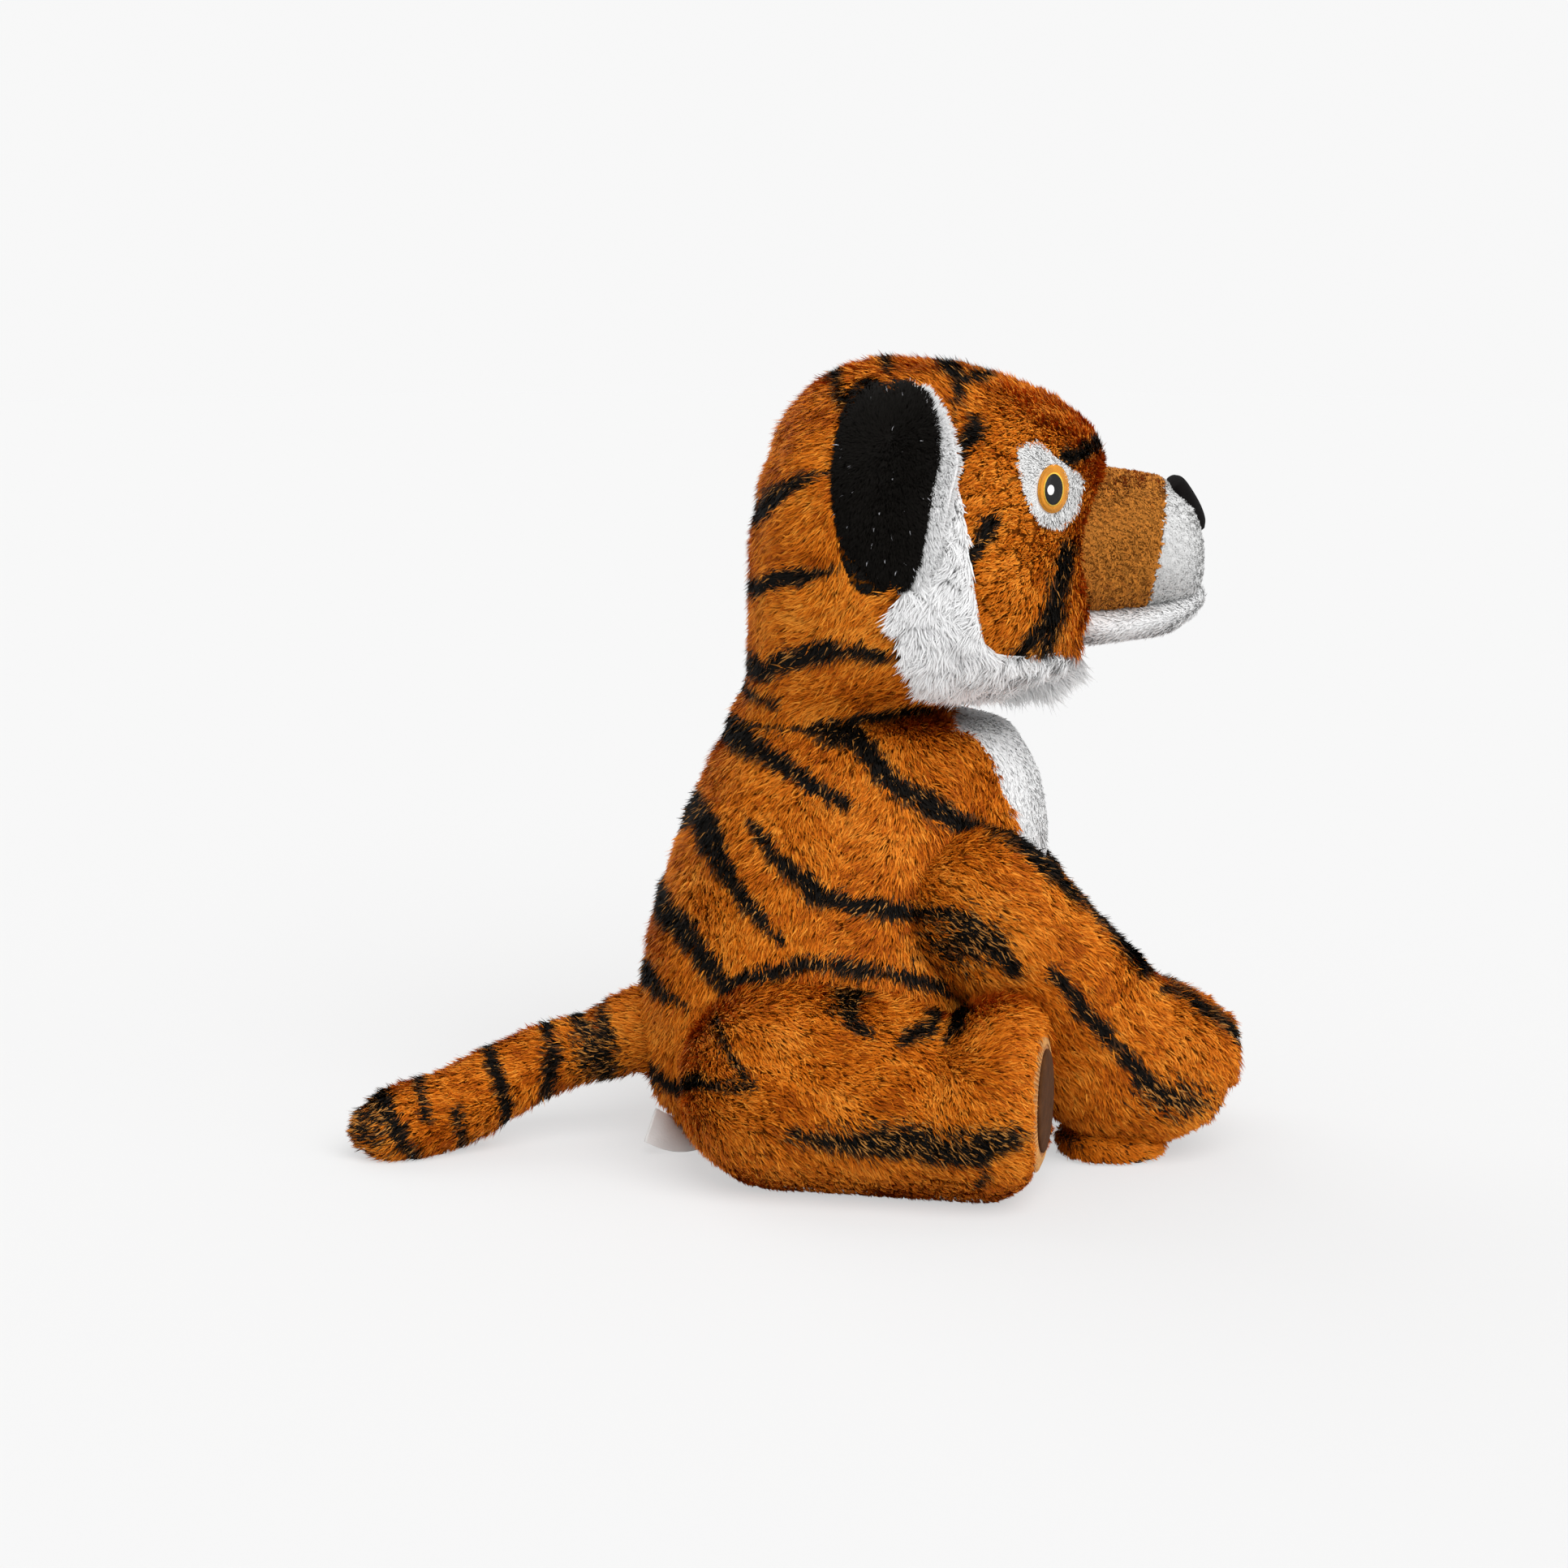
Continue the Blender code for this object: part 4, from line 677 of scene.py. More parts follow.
skinGrow = -0.4      # each skin lies this far inside the form that its pile grows from
torsoSetup = {
    "base": 0.0, "height": 139.4, "back": 67.0, "front": 57.0, "half": 54.0, "power": 2.2,
    # shares of the height, then of how far the torso reaches behind, ahead and to the side
    "rows": [
        (0.000, 0.66, 0.56, 0.52), (0.050, 0.83, 0.68, 0.72), (0.130, 0.95, 0.76, 0.87),
        (0.220, 0.99, 0.80, 0.96), (0.340, 1.00, 0.83, 1.00), (0.450, 0.975, 0.88, 0.98),
        (0.560, 0.925, 0.96, 0.94), (0.660, 0.855, 1.015, 0.90), (0.760, 0.780, 1.020, 0.84),
        (0.850, 0.690, 0.975, 0.77), (0.920, 0.620, 0.890, 0.70), (0.965, 0.585, 0.760, 0.64),
    ],
    # the pile's length and how much it varies, and how clear of the limbs it keeps
    "pile": 5.2, "pileVary": 0.8, "clear": 0.6,
}
neckSetup = {
    "x": -8.0, "z": 158.0, "ball": 35.0, "gap": 0.6, "rim": 30.0, "mouth": 29.5, "lip": 0.8,
    "pad": (39.3, 42.5), "padRim": 25.5,
}
neckSeat = neckSetup["ball"] + neckSetup["gap"]
quarters = (0.25, 0.5, 0.75, 1.0)


def seatRings(radius, spread, shares, sides=112):
    # level rings of a ball about the neck centre, at shares of an angle up from straight down
    rings = []
    for share in shares:
        reach = radius * math.sin(spread * share)
        z = neckSetup["z"] - radius * math.cos(spread * share)
        rings.append(flatRing(z, reach - neckSetup["x"], reach + neckSetup["x"], reach, sides, 2.0))
    return rings


def torsoRings(grow, sides=112, steps=7):
    # level rings set by shares of height, back, front and half width, up to the rim of the neck's seat
    setup = torsoSetup
    middle = setup["height"] / 2
    keys = [
        flatRing(
            middle + (share * setup["height"] - middle) * (middle + grow) / middle,
            setup["back"] * back + grow, setup["front"] * front + grow, setup["half"] * half + grow,
            sides, setup["power"],
        )
        for share, back, front, half in setup["rows"]
    ]
    return smoothRings(keys + seatRings(neckSeat, math.asin(neckSetup["rim"] / neckSeat), (1.0,)), steps)


def spreadAt(setup, share, grow=0.0):
    # how far a stack of level rings reaches behind, ahead and to the side at shares of its height
    reach = rowsAt(setup["rows"], share)
    return [setup[name] * part + grow for name, part in zip(("back", "front", "half"), reach)]


def insideStack(points, setup, grow, tall):
    # inside the squared oval of the level ring at the same height
    share = (points[:, 2] - setup["base"]) / (setup["height"] + tall)
    back, front, half = spreadAt(setup, share, grow)
    along = (points[:, 0] - (front - back) / 2) / ((front + back) / 2)
    power = setup["power"]
    within = np.abs(along) ** power + np.abs(points[:, 1] / half) ** power < 1
    return within & (share > 0) & (share < 1)


def insideTorso(points):
    return insideStack(points, torsoSetup, -1.0, 0.0)


# limbs: a path with a height and a width at each place, used for the skins and to keep them apart

forelegSetup = {
    "x": 36.0, "y": 41.0, "z": 84.0, "radius": 23.0, "half": 16.0, "reach": 79.0, "drop": 62.0,
    "inset": 18.5, "tall": 29.0, "wide": 18.5, "slope": 45.0, "floor": 1.5,
    # the far leg is slimmer and hangs lower, by this share and by these millimetres
    "farShare": 0.86, "farDrop": 6.5, "farWave": 1.3, "farLift": 3.0,
    # shares of reach, drop, inset, height and width
    "rows": [
        (0.10, 0.125, 0.00, 0.780, 0.850), (0.23, 0.270, 0.15, 0.690, 0.850),
        (0.38, 0.480, 0.50, 0.730, 0.900), (0.51, 0.760, 0.80, 0.890, 0.960),
        (0.65, 0.870, 1.00, 0.900, 1.000), (0.78, 0.850, 1.05, 0.790, 0.980),
        (0.90, 0.800, 1.05, 0.570, 0.840), (0.975, 0.795, 1.05, 0.360, 0.560),
    ],
    "swings": (-5, 0, 8, 16, 24, 30), "tips": (4.0, 4.4), "pile": 5.0, "pileVary": 0.7,
    # the pile's least share, the height where it ends, and how low the pile grows over the sole
    "lowPile": 0.45, "lowEnd": 16.0, "overSole": 3.2,
}
hindSetup = {
    "x": -26.0, "y": 51.5, "radius": 28.0, "tall": 31.0, "length": 80.0, "splay": 12.6, "joint": 63.5,
    # the crease fades out before a share of the length; the heel is cut under from a place along it
    "crease": 46.0, "creaseDeep": 3.0, "creaseTall": 5.0, "creaseEnd": 0.72, "creaseFade": 20.0,
    "heel": 13.0, "undercut": 8.0, "heelFrom": (60.0, 20.0),
    # the flat underside, as a share of the width and a height
    "flatShare": 0.55, "flatTop": 4.0,
    # shares of the length, then of the width, of the height and of how high the middle lies
    "rows": [
        (0.15, 0.995, 1.000, 1.000), (0.35, 0.970, 0.970, 0.970), (0.55, 0.940, 0.900, 0.900),
        (0.66, 0.930, 0.860, 0.860), (0.78, 0.965, 0.950, 0.950), (0.88, 0.950, 0.985, 0.985),
        (0.95, 0.880, 0.920, 0.980), (0.985, 0.815, 0.850, 0.975), (1.00, 0.770, 0.790, 0.970),
    ],
    "swings": (0, 7, 14, 22), "tips": (1.0, 1.0), "pile": 5.2, "pileVary": 0.8,
    # the pile's least share and the height where it ends, then its share at the foot's end
    "lowPile": 0.4, "lowEnd": 18.0, "footPile": 0.72, "footFade": 12.0,
}
tailSetup = {
    "x": -66.0, "z": 35.0, "radius": 13.0, "half": 10.5, "length": 91.0, "drop": 26.0, "bend": 24.0,
    # shares of the length, of the drop, of the bend to the side and of the half width
    "rows": [
        (0.08, 0.06, 0.02, 1.02), (0.20, 0.20, 0.06, 0.86), (0.36, 0.33, 0.20, 0.84),
        (0.52, 0.56, 0.42, 0.94), (0.67, 0.80, 0.66, 1.00), (0.82, 0.95, 0.88, 1.00),
        (0.92, 0.99, 1.00, 0.86), (0.98, 1.00, 1.04, 0.50),
    ],
    "swings": (-25, -12, 0, 12, 25), "tips": (2.8, 3.0), "pile": 5.0, "density": 4.8,
}
tubePower = 2.1
atRest = (0,)


def rootOf(setup, side=0):
    # the middle of a limb's root, on its joint
    return np.array([setup["x"], side * setup.get("y", 0.0), setup.get("z", 0.0)])


def backBall(cut):
    # places behind the joint as shares of a radius, from the cut up to the joint, and a ball's width there
    share = -np.cos(np.linspace(math.acos(cut), math.pi / 2, 5))
    return zip(share, np.sqrt(1 - share**2))


def pathStations(root, ahead, radius, wide, cut, centres, sizes):
    # a half ball behind the joint, then the table's places, each with its centre, heading and halves
    stations = [
        (*(root + ahead * share * radius), *ahead, radius * spread, wide * spread)
        for share, spread in backBall(cut)
    ]
    heading = unit(np.gradient(centres, axis=0))
    return np.array(stations + [(*centre, *way, *size) for centre, way, size in zip(centres, heading, sizes)])


def forelegStations(side):
    # places down the table's curve from the shoulder to the toes
    setup = forelegSetup
    rows = np.array(setup["rows"])
    slope = math.radians(setup["slope"])
    away = [setup["reach"], -side * setup["inset"], -setup["drop"]]
    centres = rootOf(setup, side) + rows[:, [0, 2, 1]] * away
    share = 1.0
    if side > 0:
        share = setup["farShare"]
        centres[:, 2] -= setup["farDrop"] * np.sin(np.pi * rows[:, 0] / setup["farWave"])
    sizes = rows[:, 3:] * [setup["tall"] * share, setup["wide"]]
    return pathStations(
        rootOf(setup, side), np.array([math.cos(slope), 0, -math.sin(slope)]), setup["radius"], setup["half"],
        0.99, centres, sizes,
    )


def tailStations():
    # places along the table's curve, back and to one side
    setup = tailSetup
    rows = smoothRings(setup["rows"], 2)
    centres = rootOf(setup) - rows[:, [0, 2, 1]] * [setup["length"], setup["bend"], setup["drop"]]
    sizes = setup["half"] * rows[:, [3, 3]]
    return pathStations(
        rootOf(setup), np.array([-1.0, 0, 0]), setup["radius"], setup["radius"], 0.7, centres, sizes,
    )


def liftOf(fine):
    # the way up that is square to the path, in the plane of the toy's side
    return unit(np.stack([-fine[:, 5], 0 * fine[:, 5], fine[:, 3]], axis=1))


def tubeRings(stations, sides, steps, floor, grow=0.0):
    # squared ovals across the path, smoothed between the stations and kept above the floor
    fine = smoothRings(stations, steps)
    along, across = roundShape(sides, tubePower)
    tall, wide = (np.maximum(fine[:, k] + grow, 0.6)[:, None, None] for k in (6, 7))
    rings = (
        fine[:, None, :3] + liftOf(fine)[:, None] * along[None, :, None] * tall
        + np.array([0, 1.0, 0]) * across[None, :, None] * wide
    )
    rings[:, :, 2] = np.maximum(rings[:, :, 2], floor)
    return rings


def insideTube(points, stations, grow):
    # inside the squared oval of the nearest station
    fine = smoothRings(stations, 5)
    near = fine[((points[:, None, :] - fine[None, :, :3]) ** 2).sum(axis=2).argmin(axis=1)]
    rest = points - near[:, :3]
    up = (rest * liftOf(near)).sum(axis=1) / (near[:, 6] + grow)
    out = rest[:, 1] / (near[:, 7] + grow)
    ahead = np.abs((rest * near[:, 3:6]).sum(axis=1)) < 3.0 + grow
    return (np.abs(up) ** tubePower + np.abs(out) ** tubePower < 1) & ahead


def hindKeys():
    # the half ball behind the hip, then the table's places along the leg
    ball = [(share * hindSetup["radius"], spread, spread, 1.0) for share, spread in backBall(0.99)]
    return np.array(ball + [(length * hindSetup["length"], *rest) for length, *rest in hindSetup["rows"]])


def hindRings(side, grow=0.0, sides=88, steps=8):
    # upright ovals along the leg, creased on the outside, cut under at the heel, flat on the floor,
    # and turned out about the hip line
    setup = hindSetup
    fine = smoothRings(hindKeys(), steps)
    along, across = roundShape(sides, 2.0)
    rings = np.stack(
        [
            np.repeat(setup["x"] + fine[:, 0:1], sides, axis=1),
            side * setup["y"] + across[None] * (setup["radius"] * fine[:, 1:2] + grow),
            setup["tall"] * fine[:, 3:4] - 0.5 + along[None] * (setup["tall"] * fine[:, 2:3] + grow),
        ],
        axis=2,
    )
    outer = ramp(rings[:, :, 1] * side, setup["y"], setup["radius"])
    away = (rings[:, :, 2] - setup["crease"]) / setup["creaseTall"]
    length = ramp(fine[:, 0:1], setup["length"] * setup["creaseEnd"], -setup["creaseFade"])
    rings[:, :, 1] -= side * setup["creaseDeep"] * np.exp(-(away**2)) * outer * length
    rings[:, :, 2] = np.maximum(rings[:, :, 2], 0.0)
    low = ramp(rings[:, :, 2], setup["heel"], -setup["heel"]) ** 1.5
    rings[:, :, 0] -= setup["undercut"] * low * ramp(fine[:, 0:1], *setup["heelFrom"])
    return turned(rings, rootOf(setup, side), (0, 0, side), setup["splay"])


def insideHind(points, side, grow, splay=0.0):
    # the joint's turn is taken back first, then the leg's own splay
    setup = hindSetup
    hip = rootOf(setup, side)
    rest = turned(points, np.array([setup["x"], side * setup["joint"], 0.0]), (0, 0, side), -splay)
    rest = turned(rest, hip, (0, 0, side), -setup["splay"]) - hip
    keys = hindKeys()
    wide, tall, centre = rowsAt(keys, rest[:, 0], 4)
    out = rest[:, 1] / (setup["radius"] * wide + grow)
    up = (rest[:, 2] - setup["tall"] * centre + 0.5) / (setup["tall"] * tall + grow)
    within = (rest[:, 0] > keys[0, 0] - grow) & (rest[:, 0] < keys[-1, 0] + grow)
    flat = (rest[:, 2] < setup["tall"] * centre) & (rest[:, 2] < setup["flatTop"])
    return within & ((out**2 + up**2 < 1) | (flat & (np.abs(out) < setup["flatShare"])))


def insideLimbs(points, grow, moved=True):
    # inside any limb or the tail, at rest or anywhere in its movement
    found = np.zeros(len(points), bool)
    for side in (-1, 1):
        for angle in forelegSetup["swings"] if moved else atRest:
            back = turned(points, rootOf(forelegSetup, side), (0, -1, 0), -angle)
            found |= insideTube(back, forelegStations(side), grow)
        for angle in hindSetup["swings"] if moved else atRest:
            found |= insideHind(points, side, grow, angle)
    for angle in tailSetup["swings"] if moved else atRest:
        found |= insideTube(turned(points, rootOf(tailSetup), (0, 0, 1), -angle), tailStations(), grow)
    return found


def pressIn(points, grow):
    # points that a limb needs move towards the torso's upright axis until they are clear
    inward = unit(points * [-1, -1, 0])
    points = points.copy()
    moving = np.arange(len(points))
    for step in range(60):
        moving = moving[insideLimbs(points[moving], grow)]
        if not len(moving):
            break
        points[moving] += inward[moving] * 1.0
    return points


def buildTorso():
    # the level rings, pressed clear of the limbs, a flat seat below and the neck's hollow above
    rings = torsoRings(skinGrow)
    floorRings = [rings[0] * [share, share, 0] for share in quarters[:3]]
    rings = pressIn(rings.reshape(-1, 3), 1.0).reshape(rings.shape)
    rings[:, :, 2] = np.maximum(rings[:, :, 2], 0.0)
    spread = math.asin((neckSetup["rim"] - neckSetup["lip"]) / neckSeat)
    makeSkin(
        "bodySkin", np.concatenate([floorRings, rings, seatRings(neckSeat, spread, quarters[::-1])]),
        ("body_cover", "body_stuffing", "bean_bag"),
        ((0, 0, 0), (neckSetup["x"], 0, neckSetup["z"] - neckSeat)), coat=("body", 11),
    )


def buildNeckPad():
    # a dished pad of wadding under the neck: two balls about the neck centre, cut to a round rim
    rings = []
    for radius, shares in zip(neckSetup["pad"], (quarters, quarters[::-1])):
        rings += seatRings(radius, math.asin(neckSetup["padRim"] / radius), shares, 64)
    poles = [(neckSetup["x"], 0, neckSetup["z"] - radius) for radius in neckSetup["pad"]]
    makeSkin("neckPad", np.array(rings), ("neck_stuffing",), poles, "wadding")


# the white bib: heights as shares of the torso, half widths in millimetres, and its own short pile
bibSetup = {
    "heights": [0.14, 0.18, 0.32, 0.52, 0.70, 0.86, 0.955, 1.04],
    "halves": [0.0, 19.0, 29.0, 32.5, 32.0, 30.5, 26.5, 23.0], "back": 26.0, "thick": 0.35, "deep": 1.2,
    "edge": 3.0, "density": 3.2, "pile": 2.0,
    "fur": {
        "lean": 84.0, "bend": 3.0, "swirl": 0.25, "rootShade": 1.0, "tuftPull": 0.05, "grain": 0.0,
        "sink": 0.05, "width": 0.6,
    },
}


def chestEdge(points):
    # signed distance, in millimetres on the front, inside the white chest panel's outline
    edge = np.interp(points[..., 2] / torsoSetup["height"], bibSetup["heights"], bibSetup["halves"])
    return np.minimum(edge - np.abs(points[..., 1]), points[..., 0] - bibSetup["back"])


def clearOfLimbs(points):
    return ~insideLimbs(points, torsoSetup["clear"], moved=False)


def growBody():
    # pile over the torso, but not under the bib or inside a limb
    sown = scatter(
        torsoRings(0.0), furSetup["density"], 21,
        lambda p: clearOfLimbs(p) & (p[:, 2] > 0.8) & (chestEdge(p) < 1.3),
    )
    roots = sown[0]
    length = torsoSetup["pile"] + torsoSetup["pileVary"] * waves(roots, 20.0, 23)
    growParts("bodyFur", byHand(roots), sown, (-0.15, 0, -1), length, coatTint(roots, "body", 22), 24)


def buildChest():
    # the part of the torso's rings inside the bib's outline, sinking into the torso at its edge
    setup = bibSetup
    rings, inner = torsoRings(setup["thick"]), torsoRings(-setup["deep"])
    edge = chestEdge(rings)

    def cornersOf(grid):
        after = np.roll(grid, -1, axis=1)
        return np.stack([grid[:-1], after[:-1], after[1:], grid[1:]], axis=-1)

    faces = cornersOf(np.arange(edge.size).reshape(edge.shape))[cornersOf(edge).min(axis=-1) > -1]
    used = np.unique(faces)
    order = np.zeros(edge.size, int)
    order[used] = np.arange(len(used))
    points = inner + (rings - inner) * ramp(edge, 0, setup["edge"])[..., None]
    points = points.reshape(-1, 3)[used]
    makePiece(
        "chestSkin", points, [order[faces]], "knitBacking", skinTint(points, "milk", 31, 1.0),
        stands=("chest_panel",),
    )
    sown = scatter(rings, setup["density"], 32, lambda p: (chestEdge(p) > 0.2) & clearOfLimbs(p))
    growFur(
        "chestFur", sown, np.sign(sown[0]) * [0, 0.2, 0] + [0, 0, -1], setup["pile"],
        evenTint(sown[0], "white", 0.02, 33), 34, "whitePile", **setup["fur"],
    )


buildTorso()
buildNeckPad()
growBody()
buildChest()
print("torso made")

# head

headSetup = {
    "base": 139.6, "height": 107.0, "back": 38.0, "front": 70.0, "half": 54.0, "power": 2.35, "crown": 0.14,
    # shares of the height, then of how far the head reaches behind, ahead and to the side
    "rows": [
        (0.000, 0.985, 0.310, 0.545), (0.060, 0.900, 0.370, 0.600), (0.120, 0.860, 0.680, 0.740),
        (0.180, 0.860, 0.930, 0.870), (0.260, 0.855, 0.985, 0.950), (0.350, 0.850, 1.000, 0.990),
        (0.440, 0.845, 1.000, 1.000), (0.530, 0.820, 1.000, 0.990), (0.620, 0.780, 1.025, 0.965),
        (0.700, 0.720, 1.045, 0.920), (0.780, 0.640, 1.030, 0.840), (0.860, 0.520, 0.920, 0.720),
        (0.930, 0.330, 0.700, 0.550), (0.978, 0.100, 0.460, 0.330),
    ],
    # the pile is short at the eye and longer away from it, and swept back from a place before the nose
    "pile": 3.0, "pileMore": 2.3, "pileVary": 0.6, "nearEye": (12.0, 18.0), "sweptFrom": (100, 0, 196),
    # by the ear it is black and very short: the oval's place, halves and power
    "earPile": 2.2, "earOval": (9.5, 12.0, 30.5, 2.4),
}
# the rows of the muzzle and the jaw: shares of the length, of how far the middle lifts, of the height
# and of the width
snoutSetup = {
    "root": 56.0, "seam": 91.0, "tip": 106.3, "z": 192.5, "tall": 20.5, "wide": 26.0,
    "rows": [
        (0.00, 0.03, 1.15, 1.02), (0.40, -0.02, 1.09, 0.99), (0.70, -0.06, 0.98, 0.93),
        (0.86, -0.115, 0.83, 0.86), (0.945, -0.22, 0.63, 0.70), (0.985, -0.28, 0.36, 0.42),
    ],
    # the gap at the seam, how far the seam leans back for each millimetre down, and over what length
    "gap": 0.15, "slant": 0.14, "slantReach": 14.0,
    "density": 9.0, "curl": 2.2, "fur": {"bend": 14.0, "width": 0.42, "tuft": 1.6, "sink": 0.3},
    "tanFur": {"lean": 50.0, "tuftPull": 0.35, "rootShade": 0.7},
    "whiteFur": {"lean": 76.0, "tuftPull": 0.1, "rootShade": 1.0, "grain": 0.05},
}
jawSetup = {
    "root": 54.0, "tip": 106.8, "z": 169.4, "tall": 6.4, "wide": 20.0,
    "rows": [
        (0.00, -0.39, 1.00, 1.00), (0.45, -0.21, 0.98, 0.97), (0.75, 0.08, 0.88, 0.86),
        (0.91, 0.62, 0.72, 0.64), (0.98, 0.86, 0.36, 0.36),
    ],
    "density": 8.0, "pile": 2.8,
    "fur": {"lean": 74.0, "bend": 10.0, "rootShade": 1.0, "grain": 0.05, "tuftPull": 0.15},
}
snoutPower = 2.2


def headRings(grow, sides=112, steps=6):
    # level rings from the round rim at the neck to the crown, and the pole there
    setup, mouth = headSetup, neckSetup["mouth"]
    keys = [flatRing(setup["base"], mouth - neckSetup["x"], mouth + neckSetup["x"], mouth, sides, 2.0)]
    for share, back, front, half in setup["rows"][1:]:
        keys.append(flatRing(
            setup["base"] + share * (setup["height"] + grow), setup["back"] * back + grow,
            setup["front"] * front + grow, setup["half"] * half + grow, sides, setup["power"],
        ))
    pole = np.array([setup["front"] * setup["crown"], 0, setup["base"] + setup["height"] + grow])
    keys.append(pole + (keys[-1] - pole) * [0.5, 0.5, 0.32])
    return closeEnd(smoothRings(keys, steps), pole), pole


def headSide(x, z):
    # half width of the head at a place along it and a height
    setup = headSetup
    back, front, half = spreadAt(setup, (z - setup["base"]) / setup["height"])
    place = np.minimum(np.abs((x - (front - back) / 2) / ((front + back) / 2)), 1.0)
    return half * (1 - place ** setup["power"]) ** (1 / setup["power"])


def insideHead(points, grow):
    return insideStack(points, headSetup, grow, grow)


def snoutRings(setup, sides, steps):
    # upright squared ovals across the length, from the root to the tip, and the pole there
    fine = smoothRings(setup["rows"], steps)
    along, across = roundShape(sides, snoutPower)
    x = setup["root"] + (setup["tip"] - setup["root"]) * fine[:, 0:1]
    up = setup["z"] + setup["tall"] * fine[:, 1:2] + along[None] * (setup["tall"] * fine[:, 2:3])
    rings = np.stack([np.repeat(x, sides, axis=1), across[None] * (setup["wide"] * fine[:, 3:4]), up], axis=2)
    pole = np.array([setup["tip"], 0, setup["z"] + setup["tall"] * setup["rows"][-1][1]])
    return closeEnd(rings, pole), pole


def insideSnout(points, setup, grow):
    # inside the squared oval of the muzzle or the jaw at the same place along it
    share = (points[:, 0] - setup["root"]) / (setup["tip"] - setup["root"])
    lift, tall, wide = rowsAt(setup["rows"], share)
    up = (points[:, 2] - setup["z"] - setup["tall"] * lift) / (setup["tall"] * tall + grow)
    out = points[:, 1] / (setup["wide"] * wide + grow)
    return (np.abs(up) ** snoutPower + np.abs(out) ** snoutPower < 1) & (share > -0.05) & (share < 1)


def insideOutline(points, outline):
    # crossing count of a level line with the outline's edges, on the side of the head
    x, z = points[:, 0], points[:, 2]
    found = np.zeros(len(x), bool)
    for (ax, az), (bx, bz) in zip(outline, np.roll(outline, -1, axis=0)):
        crosses = (az > z) != (bz > z)
        with np.errstate(divide="ignore", invalid="ignore"):
            at = ax + (z - az) * (bx - ax) / (bz - az)
        found ^= crosses & (x < at)
    return found


def smoothOutline(places, size=(1, 1), middle=(0, 0), steps=6):
    # a closed smooth line through places given as shares of a size about a middle
    places = np.array(places)
    fine = smoothRings(np.concatenate([places[-2:], places, places[:3]]), steps)[2 * steps:-2 * steps]
    return np.array(middle) + fine[:-1] * size


eyeSetup = {
    "x": 56.5, "z": 212.9, "width": 19.4, "height": 24.2, "patchUp": 0.5,
    "outline": [
        (-0.50, 0.48), (-0.18, 0.50), (0.06, 0.34), (0.46, 0.12), (0.47, -0.02),
        (0.38, -0.34), (0.14, -0.48), (-0.12, -0.44), (-0.36, -0.20), (-0.47, 0.14),
    ],
    # the pile keeps out of this oval round the eye
    "bare": (4.9, 7.0), "density": 9.0, "pile": 2.2,
    "fur": {
        "lean": 68.0, "bend": 12.0, "width": 0.45, "rootShade": 0.97, "swirl": 0.2, "grain": 0.1,
        "tuftPull": 0.2,
    },
}
ruffSetup = {
    "middle": (24.0, 162.0), "thick": 2.6,
    "outline": [
        (8.5, 177), (16, 157), (24, 150), (45, 147), (56, 147), (66, 152), (66, 161), (45, 163), (37, 166),
        (34.5, 174), (31.5, 190), (29, 206), (27, 215), (22, 209), (16, 190),
    ],
    # the curls, how much longer they are at the chin, how much shorter at the ear, and how they vary
    "density": 9.0, "pile": 6.2, "pileChin": 3.2, "pileUpper": -2.6, "pileVary": 1.2,
    # the chin lies ahead of one place and below another; the upper part goes up to the ear
    "chinAhead": (26.0, 16.0), "chinBelow": (160.0, -8.0), "upper": (186.0, 20.0),
    "fur": {"bend": 34.0, "tuft": 4.6, "tuftPull": 0.5, "rootShade": 0.9, "swirl": 0.55, "grain": 0.25},
}
earSetup = {
    "x": -6.0, "z": 213.4, "reach": 33.0, "half": 35.0, "sweep": 9.0, "layer": 2.6, "puff": 2.2,
    "taper": 0.24, "cup": 5.0, "turn": 48.0, "embed": 5.0, "rootShare": 0.80, "square": 2.6,
    "lining": 5.0, "gap": 0.15, "spokes": 57, "rows": 26,
    # the hairs point away from this place; few of the black ones are pale
    "sweptFrom": (6.0, 46.0, 229.4), "sparkle": 0.003, "sparkleColour": (0.45, 0.45, 0.48),
    "fur": {
        "lean": 48.0, "width": 0.36, "tuft": 2.5, "tuftPull": 0.3, "sink": 0.3, "rootShade": 0.88,
        "swirl": 0.3, "grain": 0.25,
    },
}
eyeOutline = smoothOutline(
    eyeSetup["outline"], (eyeSetup["width"], eyeSetup["height"]),
    (eyeSetup["x"], eyeSetup["z"] + eyeSetup["patchUp"]),
)
ruffOutline = smoothOutline(ruffSetup["outline"])


def buildHead():
    # the lower part of a ball that sits in the neck, and the head's own rings over it
    rings, pole = headRings(skinGrow)
    ball = neckSetup["ball"]
    spread = math.asin((neckSetup["mouth"] - neckSetup["lip"]) / ball)
    makeSkin(
        "headSkin", np.concatenate([seatRings(ball, spread, quarters), rings]),
        ("head_cover", "head_stuffing"), ((neckSetup["x"], 0, neckSetup["z"] - ball), pole),
        coat=("head", 41),
    )


def bareOfPatches(points):
    # outside the muzzle, the jaw, the eye patches and the ruffs
    covered = insideSnout(points, snoutSetup, 0.5) | insideSnout(points, jawSetup, 0.5)
    return ~(covered | insideOutline(points, eyeOutline) | insideOutline(points, ruffOutline))


